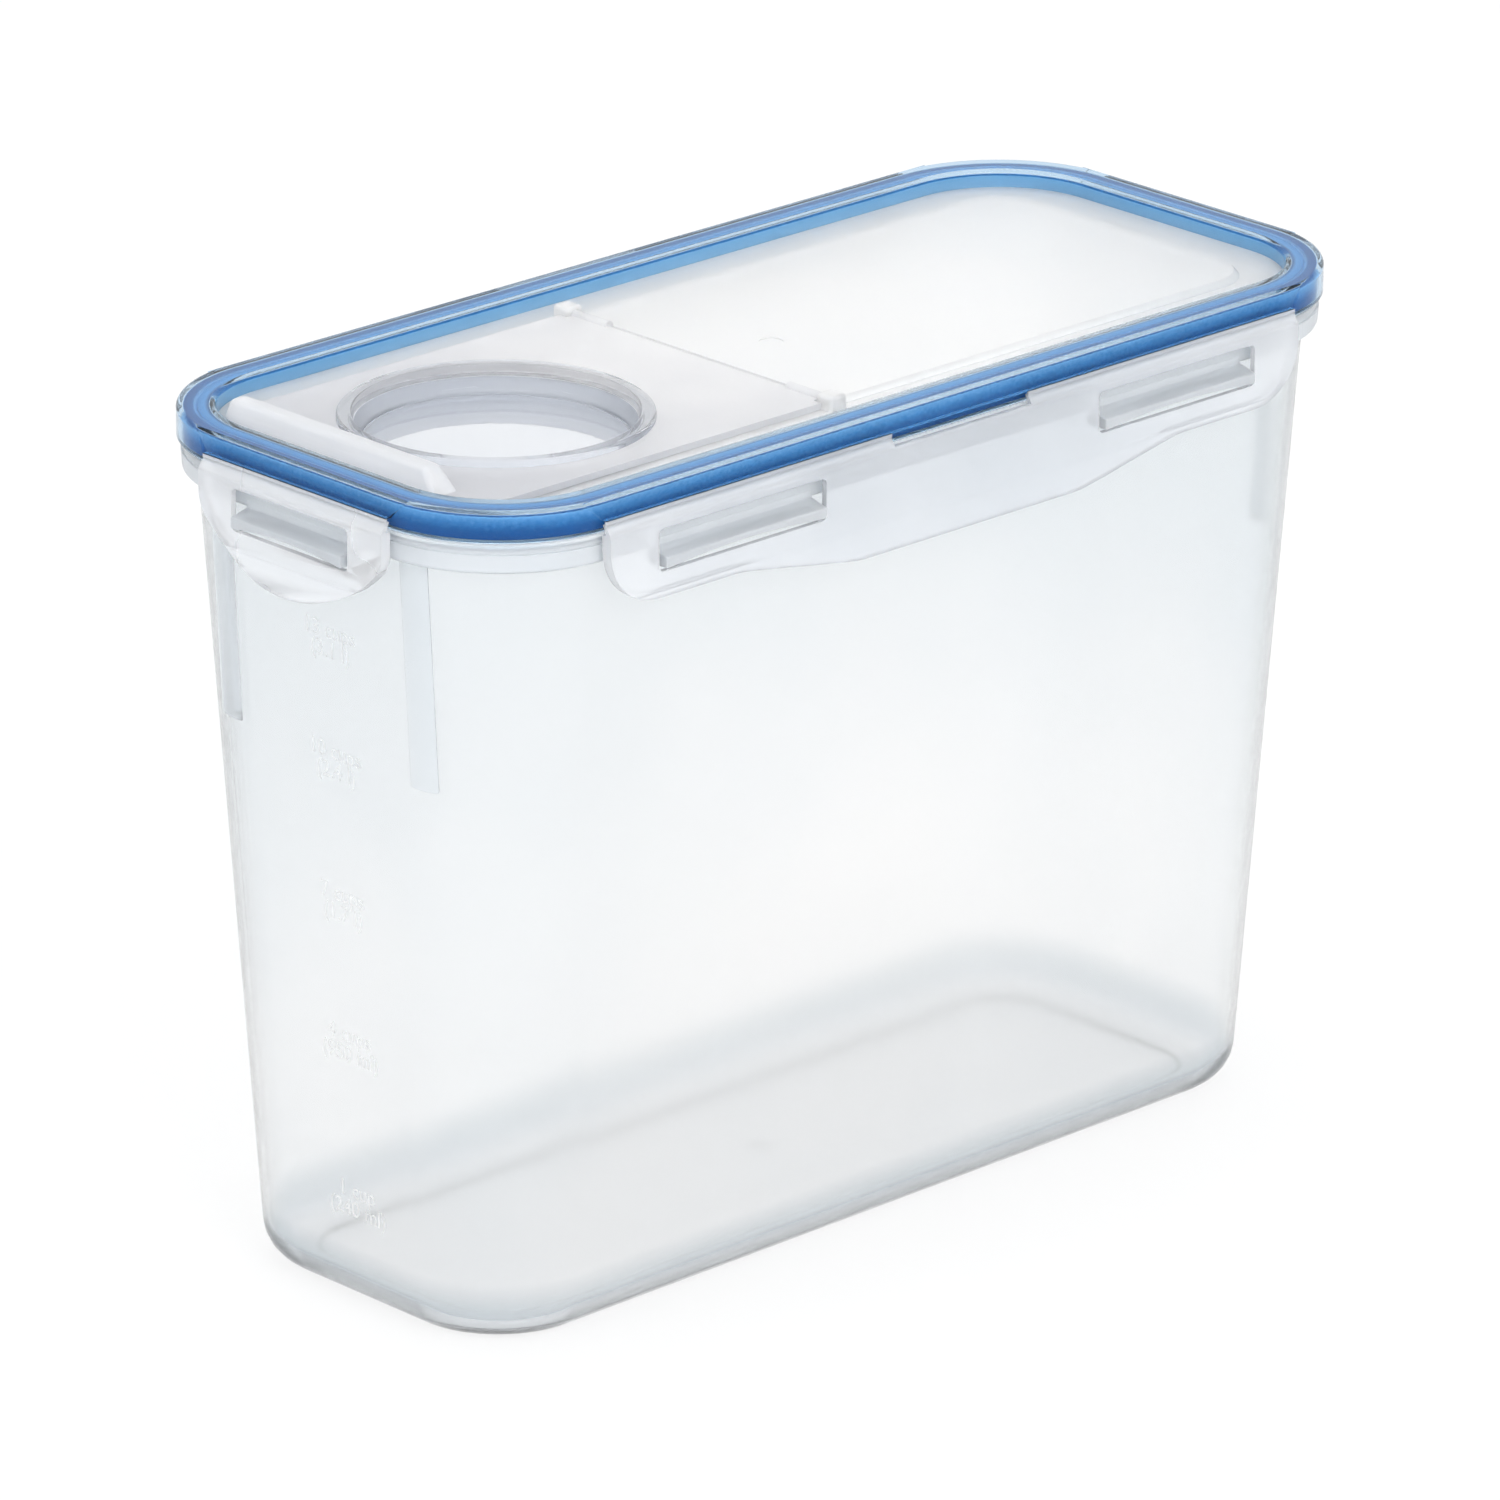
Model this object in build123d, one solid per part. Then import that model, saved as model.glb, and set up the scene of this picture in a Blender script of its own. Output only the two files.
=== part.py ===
from build123d import *
import os

# Cereal container with a clip-down lid and a flip-up pouring cap.
# Millimetres. +Z is up and the origin is the middle of the footprint on the table.
# X runs along the container and the pouring end is at -X.

# --- overall sizes -------------------------------------------------------------
lid_length = 262.0          # over the lid's outer wall, without the flaps
lid_width = 117.4
lid_corner_radius = 32.6
lid_top_z = 191.0

# --- cutting shapes -------------------------------------------------------------
overcut = 1.0               # a cutting shape passes this far beyond what it cuts
cutter_reach = 10.0         # and this far through a side of the lid
match_tolerance = 0.01      # corners nearer than this to a wanted place are the ones meant

# --- tub ------------------------------------------------------------------------
tub_base_length = 236.6
tub_base_width = 86.7
tub_base_corner_radius = 24.6
tub_wall = 1.5
tub_floor_top_z = 2.6
tub_foot_rounding = 8.0
foot_recess_depth = 1.0
foot_ring_width = 4.0
lip_inset = 4.0             # from the lid's outer wall in to the outside of the tub's lip
lip_below_lid_top = 3.0
rim_inset = 0.8             # from the lid's outer wall in to the outside of the rim
rim_below_lid_top = 7.4
rim_plate = 1.6
rim_skirt = 1.3
rim_height = 6.6
rim_groove_depth = 0.4
rim_groove_height = 2.4
rib_width = 7.5
rib_height = 1.0
rib_inner_edge_y = 26.0
rib_length = 51.0

# --- lid ------------------------------------------------------------------------
channel_width = 8.4         # over both walls of the channel that holds the gasket
channel_wall = 1.2
channel_roof = 1.3
lid_wall_height = 7.0
lid_plug_depth = 10.5       # the channel's inner wall reaches this far below the top
lid_edge_rounding = 1.1
panel_below_lid_top = 4.0
panel_thickness = 1.4
plateau_height = 1.4
plateau_margin = 11.0       # flat strip between the channel and the raised panel
plateau_corner_radius = 12.0
hinge_boss = 1.4            # above each flap the wall leans, this far out at the bottom
hinge_boss_setback = 1.1    # and this far in at the top

# --- gasket ---------------------------------------------------------------------
gasket_clearance = 0.1
gasket_web = 1.4
gasket_leg_height = 5.2
gasket_lip_gap = 0.2

# --- flip cap -------------------------------------------------------------------
cap_hinge_x = -18.5
cap_spout_x = -76.2
cap_width = 80.4
cap_front_gap = 1.2         # from the channel to the cap's front edge
cap_corner_radius = 13.0
cap_plate = 1.4
cap_seat_gap = 0.3
cap_ring_outer_radius = 33.3
cap_ring_inner_radius = 30.2
cap_ring_height = 1.4
cap_ring_rounding = 0.6
cap_dish_depth = 5.5
cap_dish_floor = 1.4
cap_plug_bottom_radius = 29.2
cap_plug_top_radius = 30.4
cap_plug_wall = 1.3
cap_plug_depth = 8.0        # below the dish floor's top
spout_clearance = 0.4
spout_collar_wall = 1.4
spout_collar_depth = 8.0
thumb_bar_width = 7.4
thumb_bar_height = 4.6      # above the cap's plate
thumb_bar_gap = 1.8         # from the channel to the bar
thumb_bar_lean = 3.0        # how far its front face leans back
thumb_bar_far_y = 36.5
thumb_bar_near_y = -31.0
thumb_bar_near_slope = 7.0
thumb_bar_end_radius = 2.6
thumb_bar_rounding = 1.6
cap_pin_radius = 1.2
cap_pin_clearance = 0.05
cap_pin_length = 12.6
cap_rear_overhang = -0.3    # from the hinge's axis to the cap's rear edge
cap_rear_gap = 1.5          # between the cap's rear edge and the raised panel
hinge_ear = 2.4
hinge_ear_wall = 1.2        # round the pin's bore
hinge_ear_roof = 0.7
hinge_ear_rounding = 1.4
hinge_ear_gap = 0.3

# --- flaps ----------------------------------------------------------------------
flap_plate = 1.3
flap_standoff = 2.7         # from the lid's outer wall to the flap's outer face
flap_top_gap = 0.8          # height of the living hinge
flap_bevel_height = 2.2
flap_bevel_nose = 0.8
flap_return = 1.2
flap_hinge_below_lid_top = 4.8
hinge_web = 0.4
lip_flare = 1.9
lip_flare_height = 5.6
long_flap_half_length = 101.0
long_flap_drop = 23.6       # below the lid's top
long_flap_middle_drop = 28.5
long_flap_middle_half = 33.0
long_flap_shoulder_half = 64.0
long_flap_corner_radius = 13.0
long_flap_bend_radius = 39.0
long_flap_notch_half = 20.0
long_flap_notch_height = 1.8
end_flap_half_length = 28.2
end_flap_drop = 28.0
end_flap_bowl_radius = 37.0
end_flap_corner_radius = 8.0

# --- locking lugs and their slots -------------------------------------------------
lug_depth = 4.7             # out from the rim
lug_below_lid_top = 13.7
lug_thickness = 3.6
lug_slope = 1.2             # the top falls this far from the rim to the front
lug_arch = 1.2
lug_web_height = 1.5        # the lug's root reaches this far above it, behind the rim's skirt
lug_end_rounding = 0.5
long_lug_inner_x = 41.0
long_lug_outer_x = 86.5
end_lug_half_length = 17.0
slot_end_clearance = 0.9
slot_bottom_clearance = 0.9
slot_below_lid_top = 9.0
slot_corner_radius = 1.2

# --- sizes worked out from those above ---------------------------------------------
half_length = lid_length / 2
half_width = lid_width / 2
rim_top_z = lid_top_z - rim_below_lid_top
rim_bottom_z = rim_top_z - rim_height
tub_top_z = rim_top_z - rim_plate
lip_top_z = lid_top_z - lip_below_lid_top
lid_wall_bottom_z = lid_top_z - lid_wall_height
panel_top_z = lid_top_z - panel_below_lid_top
panel_bottom_z = panel_top_z - panel_thickness
plateau_top_z = panel_top_z + plateau_height
cap_bottom_z = panel_top_z + cap_seat_gap
cap_top_z = cap_bottom_z + cap_plate
cap_ring_top_z = cap_top_z + cap_ring_height
dish_floor_top_z = cap_ring_top_z - cap_dish_depth
dish_floor_bottom_z = dish_floor_top_z - cap_dish_floor
plug_bottom_z = dish_floor_top_z - cap_plug_depth
spout_radius = cap_plug_top_radius + spout_clearance
cap_pin_z = cap_bottom_z + cap_pin_radius
cap_pin_end_y = cap_width / 2
cap_front_x = -half_length + channel_width + cap_front_gap
cap_rear_x = cap_hinge_x + cap_rear_overhang
plateau_start_x = cap_rear_x + cap_rear_gap
flap_hinge_z = lid_top_z - flap_hinge_below_lid_top
flap_top_z = flap_hinge_z - flap_top_gap / 2
long_flap_bottom_z = lid_top_z - long_flap_drop
long_flap_middle_z = lid_top_z - long_flap_middle_drop
end_flap_bottom_z = lid_top_z - end_flap_drop
flap_inner_face = flap_standoff - flap_plate
lug_top_z = lid_top_z - lug_below_lid_top
lug_bottom_z = lug_top_z - lug_thickness
slot_top_z = lid_top_z - slot_below_lid_top
slot_bottom_z = lug_bottom_z - slot_bottom_clearance

# The four sides: the turn that brings the front side there, and its distance from the middle.
sides = {
    "front": (0, half_width),
    "rear": (180, half_width),
    "spout_end": (-90, half_length),
    "far_end": (90, half_length),
}


def outline(inset, z):
    """The lid's rounded outline, drawn in by an inset, at a height."""
    sketch = RectangleRounded(lid_length - 2 * inset, lid_width - 2 * inset, lid_corner_radius - inset)
    return Pos(0, 0, z) * sketch


def wall_ring(outer_inset, inner_inset, bottom_z, top_z):
    """A wall that follows the lid's outline between two insets."""
    outer = extrude(outline(outer_inset, bottom_z), top_z - bottom_z)
    inner = extrude(outline(inner_inset, bottom_z), top_z - bottom_z)
    return outer - inner


def solid_outline(inset, bottom_z, top_z):
    return extrude(outline(inset, bottom_z), top_z - bottom_z)


def block(x0, x1, y0, y1, z0, z1):
    """A box given by its two corners."""
    centre = Pos((x0 + x1) / 2, (y0 + y1) / 2, (z0 + z1) / 2)
    return centre * Box(x1 - x0, y1 - y0, z1 - z0)


def on_side(shape, side):
    """Move a shape drawn on the plane of the front wall, facing -Y, to a side of the lid."""
    turn, distance = sides[side]
    return Rot(0, 0, turn) * (Pos(0, -distance, 0) * shape)


def union(shapes):
    total = shapes[0]
    for shape in shapes[1:]:
        total = total + shape
    return total


# --- tub ------------------------------------------------------------------------

def tub_block(grow, bottom_z, rounding):
    """The tapered block of the tub, grown outwards, from a height up to the rim."""
    share = bottom_z / tub_top_z
    top_length = lid_length - 2 * lip_inset
    top_width = lid_width - 2 * lip_inset
    top_radius = lid_corner_radius - lip_inset
    low_length = tub_base_length + share * (top_length - tub_base_length)
    low_width = tub_base_width + share * (top_width - tub_base_width)
    low_radius = tub_base_corner_radius + share * (top_radius - tub_base_corner_radius)
    low = RectangleRounded(low_length + 2 * grow, low_width + 2 * grow, low_radius + grow)
    top = RectangleRounded(top_length + 2 * grow, top_width + 2 * grow, top_radius + grow)
    body = loft([Pos(0, 0, bottom_z) * low, Pos(0, 0, tub_top_z) * top], ruled=True)
    return fillet(body.faces().sort_by(Axis.Z)[0].edges(), rounding)


def rim():
    """The plate and skirt that stick out round the top of the tub, with a shallow groove."""
    plate = wall_ring(rim_inset, lip_inset + tub_wall / 2, tub_top_z, rim_top_z)
    skirt = wall_ring(rim_inset, rim_inset + rim_skirt, rim_bottom_z, rim_top_z)
    groove_inset = rim_inset + rim_groove_depth
    groove = wall_ring(rim_inset - overcut, groove_inset, rim_top_z - rim_groove_height, rim_top_z + overcut)
    return plate + skirt - groove


def nesting_ribs():
    """Two upright ribs on each end wall, which stop nested tubs from jamming."""
    bands = []
    for end in (-1, 1):
        for hand in (-1, 1):
            y_range = sorted((hand * rib_inner_edge_y, hand * (rib_inner_edge_y + rib_width)))
            x_range = sorted((end * half_length, end * tub_base_length / 4))
            bands.append(block(*x_range, *y_range, rim_bottom_z - rib_length, tub_top_z))
    grown = tub_block(rib_height, tub_foot_rounding, rib_height)
    return [grown & band for band in bands]


def lug(start, stop):
    """A locking lug between two places along a side. Its top slopes and its underside is arched."""
    root = rim_inset + rim_skirt
    front = rim_inset - lug_depth
    section = Polyline(
        (root, lug_bottom_z),
        (root, lug_top_z + lug_web_height),
        (rim_inset, lug_top_z + lug_web_height),
        (rim_inset, lug_top_z),
        (front, lug_top_z - lug_slope),
        (front, lug_bottom_z),
        close=True,
    )
    bar = Pos(start, 0, 0) * extrude(Plane.YZ * make_face(section), stop - start)
    bar = fillet(bar.edges().filter_by(Axis.Z).group_by(Axis.Y)[0], lug_end_rounding)
    half = (stop - start) / 2
    arch_radius = (half ** 2 + lug_arch ** 2) / (2 * lug_arch)
    arch = Rot(90, 0, 0) * Cylinder(arch_radius, 2 * lug_depth)
    return bar - Pos((start + stop) / 2, rim_inset - lug_depth, lug_bottom_z + lug_arch - arch_radius) * arch


def lug_spans(side):
    """Where the lugs of a side start and stop, along the side."""
    if side in ("front", "rear"):
        return [(-long_lug_outer_x, -long_lug_inner_x), (long_lug_inner_x, long_lug_outer_x)]
    return [(-end_lug_half_length, end_lug_half_length)]


def container_body():
    outer = tub_block(0, 0, tub_foot_rounding) + solid_outline(lip_inset, tub_top_z, lip_top_z)
    outer = outer + rim()
    for rib in nesting_ribs():
        outer = outer + rib
    for side in sides:
        for start, stop in lug_spans(side):
            outer = outer + on_side(lug(start, stop), side)
    inner = tub_block(-tub_wall, tub_floor_top_z, tub_foot_rounding - tub_wall)
    inner = inner + solid_outline(lip_inset + tub_wall, tub_top_z, lip_top_z)
    recess_inset = 2 * (tub_foot_rounding + foot_ring_width)
    recess = RectangleRounded(
        tub_base_length - recess_inset,
        tub_base_width - recess_inset,
        tub_base_corner_radius - recess_inset / 2,
    )
    return outer - inner - extrude(recess, foot_recess_depth)


# --- lid ------------------------------------------------------------------------

def channel():
    """The upside-down channel round the lid."""
    inner_inset = channel_width - channel_wall
    walls = wall_ring(0, channel_width, lid_top_z - channel_roof, lid_top_z)
    walls = walls + wall_ring(0, channel_wall, lid_wall_bottom_z, lid_top_z)
    walls = walls + wall_ring(inner_inset, channel_width, lid_top_z - lid_plug_depth, lid_top_z)
    return fillet(walls.faces().sort_by(Axis.Z)[-1].edges(), lid_edge_rounding)


def plateau(inset, bottom_z, top_z):
    """The raised half of the panel, or its hollow underside when it is inset."""
    x0 = plateau_start_x + inset
    x1 = half_length - channel_width - plateau_margin - inset
    half = cap_width / 2 - inset
    shape = block(x0, x1, -half, half, bottom_z, top_z)
    corners = shape.edges().filter_by(Axis.Z).group_by(Axis.X)[-1]
    return fillet(corners, plateau_corner_radius - inset)


def hinge_ears():
    """Two ears beside the cap, bored for its pins."""
    ears = []
    for hand in (-1, 1):
        y0 = cap_pin_end_y + hinge_ear_gap - hinge_ear
        y_range = sorted((hand * y0, hand * (y0 + 2 * hinge_ear)))
        half = cap_pin_radius + hinge_ear_wall
        top_z = cap_pin_z + cap_pin_radius + hinge_ear_roof
        ear = block(cap_hinge_x - half, cap_hinge_x + half, *y_range, panel_bottom_z, top_z)
        top_edges = ear.faces().sort_by(Axis.Z)[-1].edges().filter_by(Axis.Y)
        ears.append(fillet(top_edges, hinge_ear_rounding))
    return ears


def pin_bore():
    bore = Rot(90, 0, 0) * Cylinder(cap_pin_radius + cap_pin_clearance, cap_width + 2 * hinge_ear_gap)
    return Pos(cap_hinge_x, 0, cap_pin_z) * bore


def flap_spans(side):
    """Where the hinge webs of a side's flap start and stop, along the side."""
    if side in ("front", "rear"):
        inner = long_flap_notch_half
        outer = long_flap_half_length
        return [(-outer, -inner), (inner, outer)]
    return [(-end_flap_half_length, end_flap_half_length)]


def hinge_boss_span(side, height):
    """The stretch of a side's wall above its flap, as tall as given. Its ends slant outwards as they rise."""
    half = flap_spans(side)[-1][1]
    bottom_z = flap_hinge_z + flap_top_gap / 2
    face = Polyline(
        (-half, bottom_z),
        (half, bottom_z),
        (half + height, bottom_z + height),
        (-half - height, bottom_z + height),
        close=True,
    )
    return extrude(Plane.XZ * make_face(face), cutter_reach, both=True)


def hinge_boss_wedge(side):
    """The leaning wall that a flap hangs from, and what it cuts off the lid's edge."""
    bottom_z = flap_hinge_z + flap_top_gap / 2
    height = lid_top_z - bottom_z
    far = hinge_boss + overcut
    wedge_face = Polyline(
        (-hinge_boss, bottom_z),
        (hinge_boss_setback, lid_top_z),
        (hinge_boss_setback, bottom_z),
        close=True,
    )
    waste_face = Polyline(
        (-hinge_boss, bottom_z),
        (hinge_boss_setback, lid_top_z),
        (hinge_boss_setback, lid_top_z + overcut),
        (-far, lid_top_z + overcut),
        (-far, bottom_z),
        close=True,
    )
    wedge = extrude(Plane.YZ * make_face(wedge_face), half_length, both=True)
    waste = extrude(Plane.YZ * make_face(waste_face), half_length, both=True)
    return wedge & hinge_boss_span(side, height), waste & hinge_boss_span(side, height + overcut)


def lid_frame():
    lid = channel() + solid_outline(channel_width - channel_wall / 2, panel_bottom_z, panel_top_z)
    lid = lid + plateau(0, panel_bottom_z, plateau_top_z)
    lid = lid - plateau(panel_thickness, panel_bottom_z - overcut, plateau_top_z - panel_thickness)
    collar = Cylinder(spout_radius + spout_collar_wall, spout_collar_depth)
    lid = lid + Pos(cap_spout_x, 0, panel_top_z - spout_collar_depth / 2) * collar
    for ear in hinge_ears():
        lid = lid + ear
    for side in sides:
        wedge, waste = hinge_boss_wedge(side)
        lid = lid - on_side(waste, side) + on_side(wedge, side)
    spout = Pos(cap_spout_x, 0, panel_top_z) * Cylinder(spout_radius, 4 * spout_collar_depth)
    return lid - spout - pin_bore()


# --- gasket ---------------------------------------------------------------------

def lid_gasket():
    """A soft U that fills the channel and straddles the tub's lip."""
    outer_inset = channel_wall + gasket_clearance
    inner_inset = channel_width - channel_wall - gasket_clearance
    top_z = lid_top_z - channel_roof - gasket_clearance
    bottom_z = top_z - gasket_leg_height
    seal = wall_ring(outer_inset, inner_inset, bottom_z, top_z)
    groove_outer = lip_inset - gasket_lip_gap
    groove_inner = lip_inset + tub_wall + gasket_lip_gap
    return seal - wall_ring(groove_outer, groove_inner, bottom_z, top_z - gasket_web)


# --- flip cap -------------------------------------------------------------------

def thumb_bar():
    """The raised lip that the thumb lifts. Its front leans back and its near end slopes down."""
    front_x = -half_length + channel_width + thumb_bar_gap
    back_x = front_x + thumb_bar_width
    top_z = cap_top_z + thumb_bar_height
    near_y = thumb_bar_near_y
    side_view = Polyline(
        (near_y, cap_bottom_z),
        (near_y, cap_top_z),
        (near_y + thumb_bar_near_slope, top_z),
        (thumb_bar_far_y, top_z),
        (thumb_bar_far_y, cap_bottom_z),
        close=True,
    )
    end_view = Polyline(
        (front_x, cap_bottom_z),
        (front_x, cap_top_z),
        (front_x + thumb_bar_lean, top_z),
        (back_x, top_z),
        (back_x, cap_bottom_z),
        close=True,
    )
    across = extrude(Plane.YZ * make_face(side_view), half_length, both=True)
    along = extrude(Plane.XZ * make_face(end_view), half_width, both=True)
    bar = across & along
    bar = fillet(bar.faces().sort_by(Axis.Z)[-1].edges(), thumb_bar_rounding)
    plan = RectangleRounded(thumb_bar_width, thumb_bar_far_y - near_y, thumb_bar_end_radius)
    plan = Pos((front_x + back_x) / 2, (thumb_bar_far_y + near_y) / 2, cap_bottom_z) * plan
    return bar & extrude(plan, top_z - cap_bottom_z)


def cap_pins():
    """A pin at each rear corner of the cap, on its own stretch of the rear edge."""
    pins = []
    for hand in (-1, 1):
        middle_y = hand * (cap_pin_end_y - cap_pin_length / 2)
        pin = Rot(90, 0, 0) * Cylinder(cap_pin_radius, cap_pin_length)
        pins.append(Pos(cap_hinge_x, middle_y, cap_pin_z) * pin)
    return pins


def cap_plate_shape():
    """The cap's flat plate, cut away beside the ears."""
    half = cap_width / 2
    plate = block(cap_front_x, cap_rear_x, -half, half, cap_bottom_z, cap_top_z)
    corners = plate.edges().filter_by(Axis.Z).group_by(Axis.X)[0]
    plate = fillet(corners, cap_corner_radius)
    for hand in (-1, 1):
        y_range = sorted((hand * (half - hinge_ear), hand * (half + overcut)))
        ear_front_x = cap_hinge_x - cap_pin_radius - hinge_ear_wall - hinge_ear_gap
        z_range = (cap_bottom_z - overcut, cap_top_z + overcut)
        plate = plate - block(ear_front_x, cap_rear_x + overcut, *y_range, *z_range)
    return plate


def plug():
    """The tapered skirt below the cap, closed by the dish's floor."""
    height = cap_bottom_z - plug_bottom_z
    body = Cone(cap_plug_bottom_radius, cap_plug_top_radius, height)
    inside = Cone(cap_plug_bottom_radius - cap_plug_wall, cap_plug_top_radius - cap_plug_wall, height)
    skirt = Pos(0, 0, plug_bottom_z + height / 2) * (body - inside)
    taper = (cap_plug_top_radius - cap_plug_bottom_radius) / height
    floor_radius = cap_plug_bottom_radius + taper * (dish_floor_bottom_z - plug_bottom_z) - cap_plug_wall / 2
    floor = Cylinder(floor_radius, cap_dish_floor)
    floor = Pos(0, 0, (dish_floor_bottom_z + dish_floor_top_z) / 2) * floor
    return Pos(cap_spout_x, 0, 0) * (skirt + floor)


def flip_cap():
    plate = cap_plate_shape()
    ring_height = cap_ring_top_z - cap_bottom_z
    ring = Cylinder(cap_ring_outer_radius, ring_height)
    ring = fillet(ring.edges().group_by(Axis.Z)[-1], cap_ring_rounding)
    plate = plate + Pos(cap_spout_x, 0, cap_bottom_z + ring_height / 2) * ring
    hole_bottom = cap_plug_top_radius - cap_plug_wall
    hole = Cone(hole_bottom, cap_ring_inner_radius, ring_height)
    plate = plate - Pos(cap_spout_x, 0, cap_bottom_z + ring_height / 2) * hole
    cap = plate + plug() + thumb_bar()
    for pin in cap_pins():
        cap = cap + pin
    return cap


# --- flaps ----------------------------------------------------------------------

def long_flap_outline():
    half = long_flap_half_length
    right = [
        (half, flap_top_z),
        (half, long_flap_bottom_z),
        (long_flap_shoulder_half, long_flap_bottom_z),
        (long_flap_middle_half, long_flap_middle_z),
    ]
    left = [(-x, z) for x, z in reversed(right)]
    face = make_face(Polyline(*right, *left, close=True))
    for end in (0, -1):
        low_corner = face.vertices().group_by(Axis.X)[end].sort_by(Axis.Y)[0]
        face = fillet(low_corner, long_flap_corner_radius)
    turns = (long_flap_shoulder_half, long_flap_middle_half)
    bends = [v for v in face.vertices() if min(abs(abs(v.X) - turn) for turn in turns) < match_tolerance]
    return fillet(bends, long_flap_bend_radius)


def end_flap_outline():
    height = flap_top_z - end_flap_bottom_z
    upright = Pos(0, end_flap_bottom_z + height / 2) * Rectangle(2 * end_flap_half_length, height)
    bowl = Pos(0, end_flap_bottom_z + end_flap_bowl_radius) * Circle(end_flap_bowl_radius)
    face = upright & bowl
    low_corners = face.vertices().group_by(Axis.Y)[0]
    return fillet(low_corners, end_flap_corner_radius)


def flap_section(bottom_z):
    """The flap cut across: a bevelled top at the hinge, a flat plate and a flared finger lip."""
    outer = -flap_standoff
    inner = -flap_inner_face
    nose_outer = -hinge_boss + hinge_web / 2
    flare_z = bottom_z + lip_flare_height
    points = [
        (nose_outer, flap_top_z),
        (outer, flap_top_z - flap_bevel_height),
        (outer, flare_z),
        (outer - lip_flare, bottom_z),
        (inner - lip_flare, bottom_z),
        (inner, flare_z),
        (inner, flap_top_z - flap_bevel_height),
        (nose_outer + flap_bevel_nose, flap_top_z),
    ]
    return make_face(Polyline(*points, close=True))


def flap(outline_face, half, bottom_z):
    """A flap on the front side: its section run along the side, trimmed to its outline."""
    section = Plane.YZ * flap_section(bottom_z)
    bar = extrude(section, half + overcut, both=True)
    trim = extrude(Plane.XZ * outline_face, cutter_reach, both=True)
    rim_wall = trim - extrude(Plane.XZ * offset(outline_face, -flap_plate), cutter_reach, both=True)
    y_range = (-flap_inner_face - flap_plate / 2, -flap_inner_face + flap_return)
    back = block(-half, half, *y_range, bottom_z + lip_flare_height, flap_top_z - flap_bevel_height)
    return (bar & trim) + (rim_wall & back)


def cut_slots(shape, side):
    for start, stop in lug_spans(side):
        x0 = start - slot_end_clearance
        x1 = stop + slot_end_clearance
        slot = block(x0, x1, -cutter_reach, cutter_reach, slot_bottom_z, slot_top_z)
        slot = fillet(slot.edges().filter_by(Axis.Y), slot_corner_radius)
        shape = shape - slot
    return shape


def long_flap():
    shape = flap(long_flap_outline(), long_flap_half_length, long_flap_middle_z)
    notch_bottom = flap_top_z - long_flap_notch_height
    half = long_flap_notch_half
    notch = block(-half, half, -cutter_reach, cutter_reach, notch_bottom, flap_top_z + flap_top_gap)
    return cut_slots(shape - notch, "front")


def end_flap():
    shape = flap(end_flap_outline(), end_flap_half_length, end_flap_bottom_z)
    return cut_slots(shape, "spout_end")


def hinge_webs(side):
    """The thin living hinges between the lid's wall and a flap."""
    webs = []
    for start, stop in flap_spans(side):
        web = block(start, stop, -hinge_boss, -hinge_boss + hinge_web,
                    flap_top_z, flap_top_z + flap_top_gap)
        webs.append(on_side(web, side))
    return webs


# --- export ---------------------------------------------------------------------

def build():
    parts = {
        "container_body": container_body(),
        "lid_frame": lid_frame(),
        "lid_gasket": lid_gasket(),
        "flip_cap": flip_cap(),
        "front_flap": on_side(long_flap(), "front"),
        "rear_flap": on_side(long_flap(), "rear"),
        "spout_end_flap": on_side(end_flap(), "spout_end"),
        "far_end_flap": on_side(end_flap(), "far_end"),
    }
    for side, names in (("front", ("left", "right")), ("rear", ("left", "right"))):
        for name, web in zip(names, hinge_webs(side)):
            parts[f"{side}_flap_hinge_{name}"] = web
    for side in ("spout_end", "far_end"):
        parts[f"{side}_flap_hinge"] = hinge_webs(side)[0]
    return parts


os.makedirs("parts", exist_ok=True)
for name, part in build().items():
    solids = part.solids()
    print(name, len(solids), "solids", round(sum(s.volume for s in solids) / 1000, 2), "cm3")
    export_step(solids[0] if len(solids) == 1 else Compound(children=solids), f"parts/{name}.step")
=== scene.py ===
import math

import bmesh
import bpy
from mathutils import Matrix, Vector


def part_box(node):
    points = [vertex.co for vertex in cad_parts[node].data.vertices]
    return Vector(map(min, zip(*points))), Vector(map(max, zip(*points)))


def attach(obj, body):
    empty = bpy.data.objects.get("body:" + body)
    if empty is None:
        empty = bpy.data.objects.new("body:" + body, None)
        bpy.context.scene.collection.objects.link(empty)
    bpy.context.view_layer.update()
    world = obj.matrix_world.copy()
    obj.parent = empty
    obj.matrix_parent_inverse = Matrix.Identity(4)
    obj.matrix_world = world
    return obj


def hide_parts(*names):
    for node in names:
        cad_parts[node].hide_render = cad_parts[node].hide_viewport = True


# A cereal keeper of clear polypropylene: a tall tub, a lid with a blue silicone seal held by four
# hinged flaps, and a flip cap over a round pouring hole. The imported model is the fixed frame.

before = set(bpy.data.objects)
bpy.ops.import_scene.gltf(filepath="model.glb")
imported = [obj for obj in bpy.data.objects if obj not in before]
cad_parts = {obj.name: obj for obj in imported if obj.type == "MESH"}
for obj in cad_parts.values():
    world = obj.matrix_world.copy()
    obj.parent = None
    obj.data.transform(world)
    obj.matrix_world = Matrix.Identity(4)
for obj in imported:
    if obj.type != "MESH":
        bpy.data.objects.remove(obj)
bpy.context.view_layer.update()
mm = 0.001
print("frame loaded")


# Small helpers.

def deselectAll():
    if bpy.context.object and bpy.context.object.mode != "OBJECT":
        bpy.ops.object.mode_set(mode="OBJECT")
    bpy.ops.object.select_all(action="DESELECT")


def activate(piece):
    deselectAll()
    piece.select_set(True)
    bpy.context.view_layer.objects.active = piece
    return piece


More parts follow.
